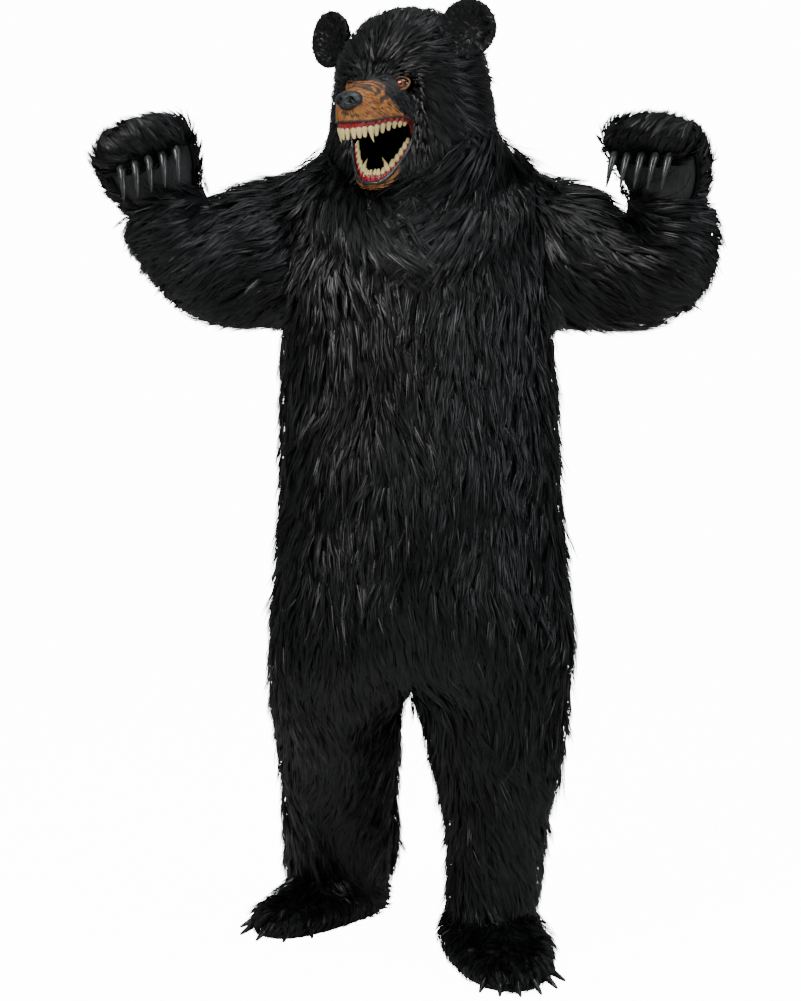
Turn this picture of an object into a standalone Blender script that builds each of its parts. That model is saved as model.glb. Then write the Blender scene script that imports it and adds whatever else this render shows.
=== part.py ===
"""Bear mascot costume: a worn, hollow set of furry suit, mask with bib, two mitts and two boots.

Every cloth piece is a wall. A garment is laid out as one skin of shared points, its outer face,
in rings worked out from the tables below. The skin is cut along its seams into panels, and each
panel is closed by a second face one wall further in and a rim, with a narrow gap at each seam.

Heights in the tables are above the floor. +X is the wearer's left, the front faces -Y, and the
origin is between the wearer's shoulders, SHOULDER_HEIGHT above the floor.
"""
import math

import bmesh
import bpy
import numpy as np
from mathutils import Vector
from mathutils.bvhtree import BVHTree

MM = 0.001

# Driving sizes.
SHOULDER_HEIGHT = 1.50
FUR_WALL = 14 * MM  # backing cloth and the pile that lies on it
PALM_WALL = 3 * MM
LATEX_WALL = 3 * MM
SOLE_WALL = 8 * MM
SEAM = 0.4 * MM  # between two sewn panels
LATEX_SETBACK = 0.6 * MM  # of the latex from its edges, where it meets the thicker fur cloth
SEAT = 0.4 * MM  # between two pieces that lie on each other

# The torso, from the crotch up to the armpits.
# height in front, at the side, at the back | x on the right, on the left | y in front, at the back
TORSO_ROWS = (
    (0.606, 0.588, 0.620, -0.293, 0.316, -0.182, 0.190),
    (0.655, 0.645, 0.668, -0.291, 0.321, -0.192, 0.203),
    (0.722, 0.718, 0.732, -0.284, 0.316, -0.196, 0.208),
    (0.800, 0.798, 0.806, -0.278, 0.305, -0.197, 0.206),
    (0.884, 0.883, 0.888, -0.273, 0.297, -0.196, 0.200),
    (0.970, 0.970, 0.972, -0.270, 0.290, -0.194, 0.193),
    (1.056, 1.056, 1.058, -0.268, 0.287, -0.192, 0.188),
    (1.138, 1.138, 1.140, -0.268, 0.283, -0.190, 0.187),
    (1.215, 1.214, 1.216, -0.267, 0.276, -0.188, 0.187),
    (1.282, 1.284, 1.284, -0.267, 0.277, -0.184, 0.186),
)
# The same columns beside the armholes, up to the shoulder line.
ARMHOLE_ROWS = (
    (1.330, 1.345, 1.345, -0.270, 0.279, -0.181, 0.185),
    (1.376, 1.405, 1.402, -0.273, 0.281, -0.175, 0.182),
    (1.420, 1.465, 1.455, -0.276, 0.283, -0.164, 0.174),
    (1.461, 1.522, 1.505, -0.279, 0.285, -0.147, 0.160),
    (1.498, 1.570, 1.548, -0.281, 0.286, -0.126, 0.138),
)
# The same columns from the shoulder line in to the neck edge.
YOKE_ROWS = (
    (1.512, 1.574, 1.560, -0.232, 0.236, -0.112, 0.122),
    (1.524, 1.574, 1.566, -0.172, 0.172, -0.098, 0.106),
    (1.534, 1.572, 1.570, -0.114, 0.106, -0.082, 0.088),
)
TORSO_COLUMNS = 32
TORSO_SQUARENESS = 0.86  # 1 is a plain ellipse, less is fuller at the corners
ARMHOLE_REACH = 3  # columns of the armhole on each side of the side seam

# The line between the legs, front to back: x, y, height.
CROTCH_LINE = (
    (-0.012, -0.128, 0.566),
    (-0.012, -0.062, 0.556),
    (-0.012, 0.000, 0.554),
    (-0.012, 0.064, 0.560),
    (-0.012, 0.132, 0.576),
)
# Each leg's rings: height | x at the inner side, at the outer side | middle y, half depth
RIGHT_LEG_RINGS = (
    (0.510, -0.027, -0.291, 0.050, 0.155),
    (0.438, -0.030, -0.283, 0.098, 0.147),
    (0.366, -0.034, -0.277, 0.150, 0.138),
    (0.266, -0.038, -0.279, 0.222, 0.130),
    (0.180, -0.034, -0.279, 0.285, 0.126),
    (0.122, -0.040, -0.280, 0.325, 0.122),
    (0.094, -0.048, -0.278, 0.336, 0.116),
)
LEFT_LEG_RINGS = (
    (0.519, 0.003, 0.313, 0.010, 0.158),
    (0.438, 0.029, 0.307, 0.008, 0.150),
    (0.357, 0.045, 0.288, 0.004, 0.138),
    (0.276, 0.066, 0.266, 0.000, 0.128),
    (0.195, 0.070, 0.259, -0.002, 0.122),
    (0.124, 0.066, 0.250, -0.004, 0.118),
    (0.098, 0.070, 0.246, -0.004, 0.112),
)
TUBE_COLUMNS = 22  # round a leg, a sleeve, a mitt and a boot

# Each sleeve's rings:
# x and height of the outer or lower side | of the inner or upper side | middle y, half depth
LEFT_SLEEVE_RINGS = (
    (0.303, 1.281, 0.305, 1.574, 0.000, 0.135),
    (0.350, 1.277, 0.338, 1.560, -0.008, 0.132),
    (0.400, 1.276, 0.372, 1.540, -0.020, 0.128),
    (0.450, 1.279, 0.397, 1.520, -0.034, 0.123),
    (0.497, 1.294, 0.408, 1.500, -0.048, 0.118),
    (0.540, 1.325, 0.412, 1.491, -0.062, 0.112),
    (0.571, 1.365, 0.413, 1.489, -0.076, 0.105),
    (0.584, 1.415, 0.410, 1.493, -0.088, 0.096),
    (0.586, 1.465, 0.407, 1.502, -0.096, 0.086),
)
RIGHT_SLEEVE_RINGS = (
    (-0.298, 1.285, -0.300, 1.575, 0.000, 0.135),
    (-0.345, 1.283, -0.328, 1.564, -0.008, 0.132),
    (-0.392, 1.287, -0.357, 1.553, -0.020, 0.128),
    (-0.435, 1.303, -0.378, 1.545, -0.034, 0.122),
    (-0.475, 1.333, -0.388, 1.536, -0.048, 0.116),
    (-0.510, 1.370, -0.394, 1.528, -0.062, 0.110),
    (-0.540, 1.410, -0.397, 1.526, -0.078, 0.101),
    (-0.558, 1.452, -0.399, 1.530, -0.092, 0.090),
)

# A mitt, from inside the sleeve up over the curled fingers, in its own frame.
# sideways, y, z of the ring's middle | turn from upright in degrees | half width, half thickness
MITT_RINGS = (
    (0.002, 0.000, -0.016, 0, 0.058, 0.050),
    (0.000, 0.000, 0.000, 0, 0.070, 0.062),
    (-0.005, -0.002, 0.030, 6, 0.082, 0.058),
    (-0.012, -0.009, 0.060, 18, 0.093, 0.054),
    (-0.016, -0.024, 0.088, 40, 0.097, 0.051),
    (-0.018, -0.050, 0.110, 68, 0.098, 0.048),
    (-0.018, -0.082, 0.116, 95, 0.096, 0.044),
    (-0.018, -0.108, 0.104, 120, 0.089, 0.037),
    (-0.018, -0.120, 0.088, 135, 0.072, 0.024),
)
MITT_CUFF_RING = 1  # the ring at the sleeve's end
PALM_HALF_COLUMNS = 4
PALM_ROWS = range(1, 6)  # the rows between two rings that hold the palm
MITT_CLAWS = 5
MITT_CLAW_SPACING = 0.0275
MITT_CLAW_LENGTH = 0.072
MITT_CLAW_RADIUS = 0.0085
MITT_CLAW_AIM = ((-0.085, 0.100), (-0.145, 0.070))  # y and z of two places on the ray to a claw's root
MITT_CLAW_FORWARD = -0.10  # share of the claws' direction that goes ahead
# middle of the cuff ring | lean and turn to the left, claws' slant in degrees | share of the sideways shift
MITT_PLACES = {
    "left": ((0.491, -0.098, 1.520), 4, -25, -12, 1.0),
    "right": ((-0.486, -0.098, 1.520), -20, 5, 4, 0.2),
}

# A boot below the hem, in the foot's frame: height | heel, toe and half width from the ankle
BOOT_RINGS = (
    (0.0082, 0.100, 0.262, 0.088),
    (0.034, 0.106, 0.286, 0.103),
    (0.052, 0.106, 0.262, 0.103),
    (0.062, 0.104, 0.162, 0.097),
)
CLAW_SIDES = 7
CLAW_RINGS = ((0.0, 1.0), (0.16, 0.95), (0.45, 0.70), (0.75, 0.40), (1.0, 0.06))  # along | radius
CLAW_BEND = 1.6  # more makes the claw leave its root's direction sooner
BOOT_TOP_HEIGHT = 0.155
BOOT_TOP_SCALE = 0.80
BOOT_CLAW_LENGTH = 0.040
BOOT_CLAW_RADIUS = 0.0062
BOOT_CLAW_HEIGHT = 0.026
BOOT_CLAW_REACH = 0.13  # from the ankle to the point that the claws' bearings are taken from
BOOT_CLAW_DROOP = 0.42  # fall for each metre outwards
# ankle x, y | heading to the left in degrees | half width scale | claws' bearings in degrees
BOOT_PLACES = {
    "left": (0.158, -0.010, 8, 1.03, (-26, -13, 0, 13, 28, 46)),
    "right": (-0.164, 0.336, -32, 0.95, (-36, -18, 0, 18, 38)),
}

# The mask's own frame: x to the wearer's left, f forward and z up from the middle of the head.
HEAD_CENTRE = (-0.010, -0.020, 1.740)
HEAD_TURN = 32  # degrees towards the wearer's right
HOOD_COLUMN_SHIFT = 3  # hood columns are this many behind the torso's
OPENING_REACH = 3  # columns of the face opening on each side of the middle
# height | half width, front and back reach of the furry head
HEAD_PROFILE = (
    (-0.200, 0.205, 0.104, 0.180),
    (-0.150, 0.196, 0.110, 0.176),
    (-0.110, 0.186, 0.120, 0.172),
    (-0.060, 0.172, 0.127, 0.169),
    (0.000, 0.162, 0.132, 0.165),
    (0.045, 0.156, 0.132, 0.158),
    (0.080, 0.146, 0.124, 0.149),
    (0.112, 0.125, 0.108, 0.130),
    (0.142, 0.092, 0.080, 0.098),
    (0.162, 0.050, 0.045, 0.055),
)
CROWN_HEIGHTS = (0.162, 0.142, 0.112, 0.080)
CROWN_TOP = 0.169
BROW_HEIGHT = 0.045
OPENING_ROWS = 6
NECK_SEAM = {"front": -0.187, "side": -0.070, "back": -0.105}

# The bib, from the hood's seam down over the shoulders: how far out of the suit its ring lies.
BIB_FLARE_ROWS = 2
BIB_REST_ROWS = 3
BIB_SOFTENINGS = 2
LIFT_GRID = 5
LIFT_ROUNDS = 24
BIB_EDGE_CURVE = 1.2  # 1 is even, more makes the lower edge more pointed
BIB_BULGE = {"front": 0.010, "side": 0.004}  # of the ring between the hood and the shoulders
BIB_GAP = 1.3 * MM  # under the bib's flat faces, so that its corners and the suit's lie closer
BIB_EDGE_ROWS = {"front": 1.6, "side": 5.4, "back": 2.6}  # armhole rows down to which it reaches

# Sections of the muzzle and of the jaw, back to front, in the mask's frame.
# lip x, f, z | middle line f, z
MUZZLE_SECTIONS = (
    (0.074, 0.102, -0.068, 0.140, 0.030),
    (0.068, 0.126, -0.060, 0.152, 0.020),
    (0.060, 0.151, -0.060, 0.170, 0.009),
    (0.052, 0.177, -0.065, 0.191, -0.002),
    (0.042, 0.202, -0.070, 0.213, -0.012),
    (0.025, 0.219, -0.072, 0.225, -0.026),
)
JAW_SECTIONS = (
    (0.074, 0.102, -0.068, 0.113, -0.176),
    (0.069, 0.103, -0.100, 0.119, -0.185),
    (0.061, 0.112, -0.126, 0.125, -0.191),
    (0.050, 0.123, -0.149, 0.131, -0.195),
    (0.034, 0.134, -0.171, 0.137, -0.197),
    (0.017, 0.141, -0.183, 0.142, -0.196),
)
LIP_FRONT = {"upper": (0.0, 0.224, -0.072), "lower": (0.0, 0.144, -0.187)}
GUM_INSET = 4.0 * MM
GUM_THICKNESS = 8 * MM
GUM_HEIGHT = {"upper": (8 * MM, -9 * MM), "lower": (-4 * MM, 9 * MM)}
GUM_RISE = {"upper": 4 * MM, "lower": 7 * MM}  # more in front, falling off as e^-(distance / reach)^2
GUM_RISE_REACH = 42 * MM
TEETH_THICKNESS = 6 * MM
TEETH_GAP = 0.95 * MM  # over the gum, whose top bends where the teeth's roots are straight
# one side's teeth from the front: length and width
UPPER_TEETH = (
    (21, 14), (21, 14), (21, 14), (31, 14), (21, 16), (19, 16), (16, 15), (13, 14), (10, 13), (7, 12)
)
LOWER_TEETH = ((12, 10), (12, 10), (13, 10), (29, 14), (17, 15), (16, 15), (15, 15), (14, 14), (11, 13))

EAR_RADIUS = 0.057
EAR_PLACE = (0.157, 0.040, 0.112)
EAR_TURN = 18  # degrees outwards
EAR_POINTS = 16  # round the rim
# size against the radius | depth from the ear's middle plane, front to back
EAR_RINGS = (
    (0.00, 0.002),
    (0.55, 0.004),
    (0.86, 0.012),
    (1.00, 0.010),
    (0.97, -0.004),
    (0.75, -0.013),
    (0.40, -0.018),
    (0.00, -0.019),
)
EYE_PLACE = (0.056, 0.005)  # x and z in the mask's frame
EYE_SIZES = (0.0150, 0.0090, 0.0105)  # half width, half depth, half height
EYE_TURN = 18  # degrees outwards
NOSE_PLACE = (0.0, 0.219, -0.033)
NOSE_SIZES = (0.0290, 0.0200, 0.0190)
FRONT_BULGE = 4 * MM  # of the muzzle's and the chin's front, past their last section

# Folds pressed into the suit: side, width and depth | x and height of the points along the fold
FOLDS = (
    ("front", 0.040, 0.014, ((0.150, 0.905), (0.086, 0.825), (0.050, 0.740), (0.020, 0.640))),
    ("front", 0.034, 0.012, ((-0.030, 0.820), (-0.014, 0.700), (-0.012, 0.600))),
    ("front", 0.045, 0.010, ((-0.270, 0.960), (-0.190, 0.890), (-0.110, 0.850))),
    ("front", 0.040, 0.011, ((0.280, 1.220), (0.200, 1.130), (0.150, 1.080))),
    ("front", 0.040, 0.010, ((-0.270, 1.230), (-0.190, 1.140), (-0.150, 1.090))),
    ("front", 0.036, 0.009, ((0.300, 0.420), (0.170, 0.385), (0.060, 0.330))),
    ("front", 0.036, 0.009, ((-0.280, 0.400), (-0.150, 0.340), (-0.040, 0.300))),
    ("front", 0.030, 0.008, ((0.240, 0.175), (0.120, 0.150))),
    ("front", 0.030, 0.008, ((-0.270, 0.190), (-0.130, 0.150))),
    ("front", 0.034, 0.011, ((0.560, 1.395), (0.480, 1.420), (0.430, 1.470))),
    ("front", 0.034, 0.011, ((-0.520, 1.410), (-0.450, 1.440), (-0.410, 1.490))),
    ("front", 0.036, 0.010, ((0.300, 1.330), (0.350, 1.400), (0.390, 1.450))),
    ("front", 0.036, 0.010, ((-0.300, 1.340), (-0.340, 1.400), (-0.380, 1.470))),
    ("back", 0.040, 0.013, ((-0.180, 0.800), (-0.090, 0.740), (-0.014, 0.640))),
    ("back", 0.040, 0.013, ((0.190, 0.800), (0.080, 0.735), (-0.010, 0.640))),
    ("back", 0.045, 0.010, ((0.270, 1.000), (0.160, 0.950), (0.060, 0.960))),
    ("back", 0.045, 0.010, ((-0.260, 1.060), (-0.150, 1.010), (-0.050, 1.010))),
    ("back", 0.036, 0.010, ((0.300, 1.330), (0.380, 1.390), (0.430, 1.430))),
    ("back", 0.036, 0.010, ((-0.300, 1.340), (-0.370, 1.410), (-0.400, 1.450))),
    ("back", 0.034, 0.009, ((0.270, 0.300), (0.160, 0.330), (0.080, 0.310))),
    ("back", 0.034, 0.009, ((-0.270, 0.300), (-0.160, 0.260), (-0.050, 0.290))),
)

ZIP_LENGTH_ROWS = 12  # from the neck edge down, in torso rows
ZIP_HALF_WIDTH = 11 * MM
ZIP_THICKNESS = 2.5 * MM
ZIP_DROP = 1.5 * MM  # further in than the wall's inner face, which bends at the seam

# name: colour, roughness, metallic
MATERIALS = {
    "black_fur": ((0.012, 0.013, 0.014), 0.85, 0.0),
    "palm_cloth": ((0.010, 0.010, 0.011), 0.60, 0.0),
    "sole_rubber": ((0.012, 0.012, 0.012), 0.75, 0.0),
    "claw_plastic": ((0.030, 0.032, 0.033), 0.30, 0.0),
    "tan_latex": ((0.430, 0.190, 0.060), 0.45, 0.0),
    "nose_latex": ((0.045, 0.052, 0.060), 0.28, 0.0),
    "gum_latex": ((0.420, 0.030, 0.030), 0.25, 0.0),
    "tooth_plastic": ((0.780, 0.690, 0.400), 0.32, 0.0),
    "eye_plastic": ((0.260, 0.050, 0.012), 0.12, 0.0),
    "zip_tape": ((0.010, 0.010, 0.010), 0.70, 0.0),
}

COLLECTION = bpy.data.collections.new("bear_mascot_costume")
CUTTERS = bpy.data.collections.new("cutters")


def unit(rows):
    """Each row scaled to length 1."""
    length = np.linalg.norm(rows, axis=-1, keepdims=True)
    return rows / np.maximum(length, 1e-12)


def eased(value, power):
    """The value with its size raised to a power and its sign kept."""
    return np.sign(value) * np.abs(value) ** power


def turn_about_up(points, degrees):
    """Points turned about Z, towards +X from -Y for a positive angle."""
    angle = math.radians(degrees)
    cos, sin = math.cos(angle), math.sin(angle)
    return np.asarray(points) @ np.array(((cos, -sin, 0.0), (sin, cos, 0.0), (0.0, 0.0, 1.0))).T


def lean_about_front(points, degrees):
    """Points turned about Y, so that the top goes towards +X for a positive angle."""
    angle = math.radians(degrees)
    cos, sin = math.cos(angle), math.sin(angle)
    return np.asarray(points) @ np.array(((cos, 0.0, sin), (0.0, 1.0, 0.0), (-sin, 0.0, cos))).T


def from_mask(points):
    """Points of the mask's frame (x, f, z) in the costume's."""
    x, forward, up = np.asarray(points, float).T
    turned = turn_about_up(np.stack((x, -forward, up), axis=1), -HEAD_TURN)
    return turned + np.array(HEAD_CENTRE)


class Skin:
    """The outer face of a garment: shared points, and faces that each belong to a named panel."""

    def __init__(self):
        self.points = np.empty((0, 3))
        self.faces = []
        self.panels = []
        self.set_normals = {}

    def add(self, points, normals=None):
        """Adds points, with the outward directions they must keep if given, and returns their numbers."""
        start = len(self.points)
        self.points = np.vstack((self.points, np.asarray(points, float).reshape(-1, 3)))
        numbers = list(range(start, len(self.points)))
        if normals is not None:
            self.set_normals.update(zip(numbers, normals))
        return numbers

    def face(self, corners, panel):
        """Adds one face, leaving out a corner that repeats."""
        kept = [c for i, c in enumerate(corners) if c not in corners[:i]]
        self.faces.append(tuple(kept))
        self.panels.append(panel)

    def strip(self, lower, upper, panel_of, closed=True):
        """Adds the faces between two rows of points; panel_of gives each column's panel, or None."""
        last = len(lower) if closed else len(lower) - 1
        for i in range(last):
            j = (i + 1) % len(lower)
            panel = panel_of(i)
            if panel:
                self.face((lower[i], lower[j], upper[j], upper[i]), panel)

    def turn_out(self):
        """Turns every face so that its corners run counter-clockwise seen from outside."""
        mesh = bpy.data.meshes.new("turning")
        mesh.from_pydata([tuple(p) for p in self.points], [], self.faces)
        shape = bmesh.new()
        shape.from_mesh(mesh)
        bmesh.ops.recalc_face_normals(shape, faces=shape.faces)
        shape.faces.ensure_lookup_table()
        self.faces = [tuple(v.index for v in face.verts) for face in shape.faces]
        middle = self.points.mean(axis=0)
        outward = sum((np.array(f.calc_center_median()) - middle) @ np.array(f.normal) for f in shape.faces)
        if outward < 0:
            self.faces = [face[::-1] for face in self.faces]
        shape.free()
        bpy.data.meshes.remove(mesh)

    def normals(self):
        """The outward direction at each point."""
        total = np.zeros_like(self.points)
        for face in self.faces:
            corners = self.points[list(face)]
            across = unit(np.cross(corners[2] - corners[0], corners[-1] - corners[1]))
            total[list(face)] += across
        for number, normal in self.set_normals.items():
            total[number] = normal
        return unit(total)

    def relax(self, chosen, amount, rounds):
        """Moves the chosen points towards the middle of their neighbours."""
        beside = {i: set() for i in chosen}
        for face in self.faces:
            for i, corner in enumerate(face):
                if corner in beside:
                    beside[corner].update((face[i - 1], face[(i + 1) % len(face)]))
        for _ in range(rounds):
            moved = {i: self.points[sorted(near)].mean(axis=0) for i, near in beside.items()}
            for i, middle in moved.items():
                self.points[i] += amount * (middle - self.points[i])

    def press(self, folds):
        """Presses folds into the skin, each a soft trough along its line."""
        out = self.normals()
        for side, width, depth, line in folds:
            facing = out[:, 1] < 0 if side == "front" else out[:, 1] > 0
            flat = self.points[:, (0, 2)]
            distance = np.full(len(flat), 9.0)
            for start, end in zip(np.array(line[:-1]), np.array(line[1:])):
                along = np.clip((flat - start) @ (end - start) / ((end - start) @ (end - start)), 0, 1)
                away = flat - start - along[:, None] * (end - start)
                distance = np.minimum(distance, np.linalg.norm(away, axis=1))
            trough = depth * np.exp(-((distance / width) ** 2)) * facing * np.abs(out[:, 1])
            trough[list(self.set_normals)] = 0.0
            self.points -= trough[:, None] * out

    def panel_faces(self, panel):
        return [face for face, name in zip(self.faces, self.panels) if name == panel]


def material(name):
    """The named material, made once."""
    if name in bpy.data.materials:
        return bpy.data.materials[name]
    colour, roughness, metallic = MATERIALS[name]
    made = bpy.data.materials.new(name)
    made.use_nodes = True
    surface = made.node_tree.nodes["Principled BSDF"]
    surface.inputs["Base Color"].default_value = (*colour, 1.0)
    surface.inputs["Roughness"].default_value = roughness
    surface.inputs["Metallic"].default_value = metallic
    made.diffuse_color = (*colour, 1.0)
    return made


def add_object(name, points, faces, material_name, cutter=False):
    """A named object from points whose heights are above the floor, with its faces turned out."""
    lowered = np.asarray(points, float) - (0.0, 0.0, SHOULDER_HEIGHT)
    mesh = bpy.data.meshes.new(name)
    mesh.from_pydata([tuple(p) for p in lowered], [], faces)
    shape = bmesh.new()
    shape.from_mesh(mesh)
    loose = [v for v in shape.verts if not v.link_faces]
    bmesh.ops.delete(shape, geom=loose, context="VERTS")
    bmesh.ops.recalc_face_normals(shape, faces=shape.faces)
    if shape.calc_volume(signed=True) < 0:
        bmesh.ops.reverse_faces(shape, faces=shape.faces)
    shape.to_mesh(mesh)
    shape.free()
    mesh.materials.append(material(material_name))
    made = bpy.data.objects.new(name, mesh)
    (CUTTERS if cutter else COLLECTION).objects.link(made)
    if cutter:
        made.hide_render = True
        made.display_type = "WIRE"
    else:
        mesh.shade_smooth()
        mesh.set_sharp_from_angle(angle=math.radians(50))
    return made


def edges_of(faces):
    """The edges that only one of the faces has, each in that face's direction."""
    seen = {}
    for face in faces:
        for i, corner in enumerate(face):
            pair = (corner, face[(i + 1) % len(face)])
            seen[frozenset(pair)] = None if frozenset(pair) in seen else pair
    return [pair for pair in seen.values() if pair]


def triangles(faces):
    """Each face as triangles from its first corner, so that pieces made from shared points match."""
    return [(face[0], face[i], face[i + 1]) for face in faces for i in range(1, len(face) - 1)]


def walled(skin, faces, outer_depth, inner_depth, setback):
    """Points and faces of a closed wall over some of a skin's faces, drawn back from its edges."""
    out = skin.normals()
    rim = edges_of(faces)
    inward = np.zeros_like(skin.points)
    for a, b in rim:
        along = skin.points[b] - skin.points[a]
        step = unit(np.cross(out[a] + out[b], along))
        inward[a] += step
        inward[b] += step
    inward = unit(inward) * setback * (np.linalg.norm(inward, axis=1, keepdims=True) > 0)
    base = skin.points + inward
    count = len(base)
    points = np.vstack((base - outer_depth * out, base - inner_depth * out))
    closed = triangles(faces)
    closed += [(c + count, b + count, a + count) for a, b, c in closed]
    for a, b in rim:
        low, high = min(a, b), max(a, b)
        closed.append((low, high, high + count))
        closed.append((low, high + count, low + count))
    return points, closed


def add_panel(name, skin, panel, material_name="black_fur", outer=0.0, inner=FUR_WALL, setback=SEAM / 2):
    """One cut piece of a garment as a closed wall between two depths, drawn back at its edges."""
    points, faces = walled(skin, skin.panel_faces(panel), outer, inner, setback)
    return add_object(name, points, faces, material_name)


def surface_of(skin, panel=None):
    """The skin, or one panel of it, as a surface that rays and nearest points can be asked of."""
    faces = skin.panel_faces(panel) if panel else skin.faces
    return BVHTree.FromPolygons([tuple(p) for p in skin.points], triangles(faces))


def lift_clear(skin, chosen, surface, depth, gap):
    """Moves the chosen points out until the wall's inner face, at this depth, clears the surface.

    It measures at a grid of places on each face, and stops after LIFT_ROUNDS rounds at the latest.
    """
    faces = np.array(triangles([face for face in skin.faces if any(i in chosen for i in face)]))
    out = skin.normals()
    n = LIFT_GRID
    weights = [(a / n, b / n, 1 - (a + b) / n) for a in range(n + 1) for b in range(n + 1 - a)]
    lifted = np.zeros(len(skin.points))
    for _ in range(LIFT_ROUNDS):
        inner = skin.points + (lifted - depth)[:, None] * out
        short = np.zeros(len(skin.points))
        for share in weights:
            samples = np.einsum("k,fkx->fx", share, inner[faces])
            for face, sample in zip(faces, samples):
                place, normal, _, _ = surface.find_nearest(Vector(sample))
                missing = gap - (Vector(sample) - place).dot(normal)
                if missing > 0:
                    for corner, weight in zip(face, share):
                        if weight > 0 and corner in chosen:
                            short[corner] = max(short[corner], missing)
        if not short.any():
            break
        lifted += short
    skin.points += lifted[:, None] * out


def torso_ring(row):
    """One ring round the torso: column 0 is the middle of the front, the next ones go to +X."""
    front, side, back, x_right, x_left, y_front, y_back = row
    angle = 2 * math.pi * np.arange(TORSO_COLUMNS) / TORSO_COLUMNS
    across = eased(np.sin(angle), TORSO_SQUARENESS)
    along = eased(np.cos(angle), TORSO_SQUARENESS)
    x = (x_left + x_right) / 2 + (x_left - x_right) / 2 * across
    y = (y_front + y_back) / 2 - (y_back - y_front) / 2 * along
    facing = np.where(np.cos(angle) > 0, front, back)
    height = side * np.sin(angle) ** 2 + facing * np.cos(angle) ** 2
    return np.stack((x, y, height), axis=1)


def leg_ring(row, first_angle):
    """One level ring of a leg, from the angle of its first column (0 is the front, 90 is +X)."""
    height, inner, outer, middle_y, half_depth = row
    angle = np.radians(first_angle + 360 * np.arange(TUBE_COLUMNS) / TUBE_COLUMNS)
    x = (inner + outer) / 2 + abs(outer - inner) / 2 * np.sin(angle)
    y = middle_y - half_depth * np.cos(angle)
    return np.stack((x, y, np.full(TUBE_COLUMNS, height)), axis=1)


def sleeve_angles():
    """Angles round a sleeve: 0 is the lower or outer side, and 90 degrees is the back."""
    return 2 * math.pi * (np.arange(TUBE_COLUMNS) - ARMHOLE_REACH) / TUBE_COLUMNS


def sleeve_ring(row):
    """One ring of a sleeve."""
    outer_x, outer_height, inner_x, inner_height, middle_y, half_depth = row
    middle = np.array(((outer_x + inner_x) / 2, middle_y, (outer_height + inner_height) / 2))
    outwards = np.array(((outer_x - inner_x) / 2, 0.0, (outer_height - inner_height) / 2))
    angle = sleeve_angles()[:, None]
    return middle + outwards * np.cos(angle) + np.array((0.0, half_depth, 0.0)) * np.sin(angle)


def place_mitt(points, side):
    """Points of a mitt's own frame in the costume's."""
    middle, lean, turn, _, _ = MITT_PLACES[side]
    placed = lean_about_front(turn_about_up(points, turn), lean)
    return placed + np.array(middle)


def mitt_angles(side):
    """Angles round a turned mitt that keep its columns in line with the sleeve's."""
    turn = MITT_PLACES[side][2] * (-1 if side == "left" else 1)
    return sleeve_angles() + math.radians(turn)


def mitt_ring(number, side, grow=0.0):
    """One ring of a mitt, in the same columns as the sleeve, in the costume's frame."""
    sideways, y, z, turn, half_width, half_thick = MITT_RINGS[number]
    sign = 1 if side == "left" else -1
    tilt = math.radians(turn)
    back = np.array((0.0, math.cos(tilt), math.sin(tilt)))
    middle = np.array((MITT_PLACES[side][4] * sideways, y, z))
    angle = mitt_angles(side)[:, None]
    outwards = np.array((float(sign), 0.0, 0.0))
    fullness = 0.9 if number > MITT_CUFF_RING else 1.0
    ring = middle + (half_width + grow) * outwards * eased(np.cos(angle), fullness)
    ring = ring + (half_thick + grow) * back * eased(np.sin(angle), fullness)
    return place_mitt(ring, side)


def suit_panel(column):
    """The body panel that holds a torso column."""
    quarter = column % TORSO_COLUMNS // (TORSO_COLUMNS // 4)
    return ("suit_front_left", "suit_back_left", "suit_back_right", "suit_front_right")[quarter]


def armhole_loop(rows, side):
    """The armhole's edge: along its bottom to the back, up, over to the front, and down."""
    quarter = TORSO_COLUMNS // 4
    middle, step = (quarter, 1) if side == "left" else (3 * quarter, -1)
    columns = [middle + step * i for i in range(-ARMHOLE_REACH, ARMHOLE_REACH + 1)]
    bottom, top = rows[0], rows[-1]
    loop = [bottom[c] for c in columns]
    loop += [row[columns[-1]] for row in rows[1:-1]]
    loop += [top[c] for c in columns[::-1]]
    loop += [row[columns[0]] for row in rows[-2:0:-1]]
    return loop


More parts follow.
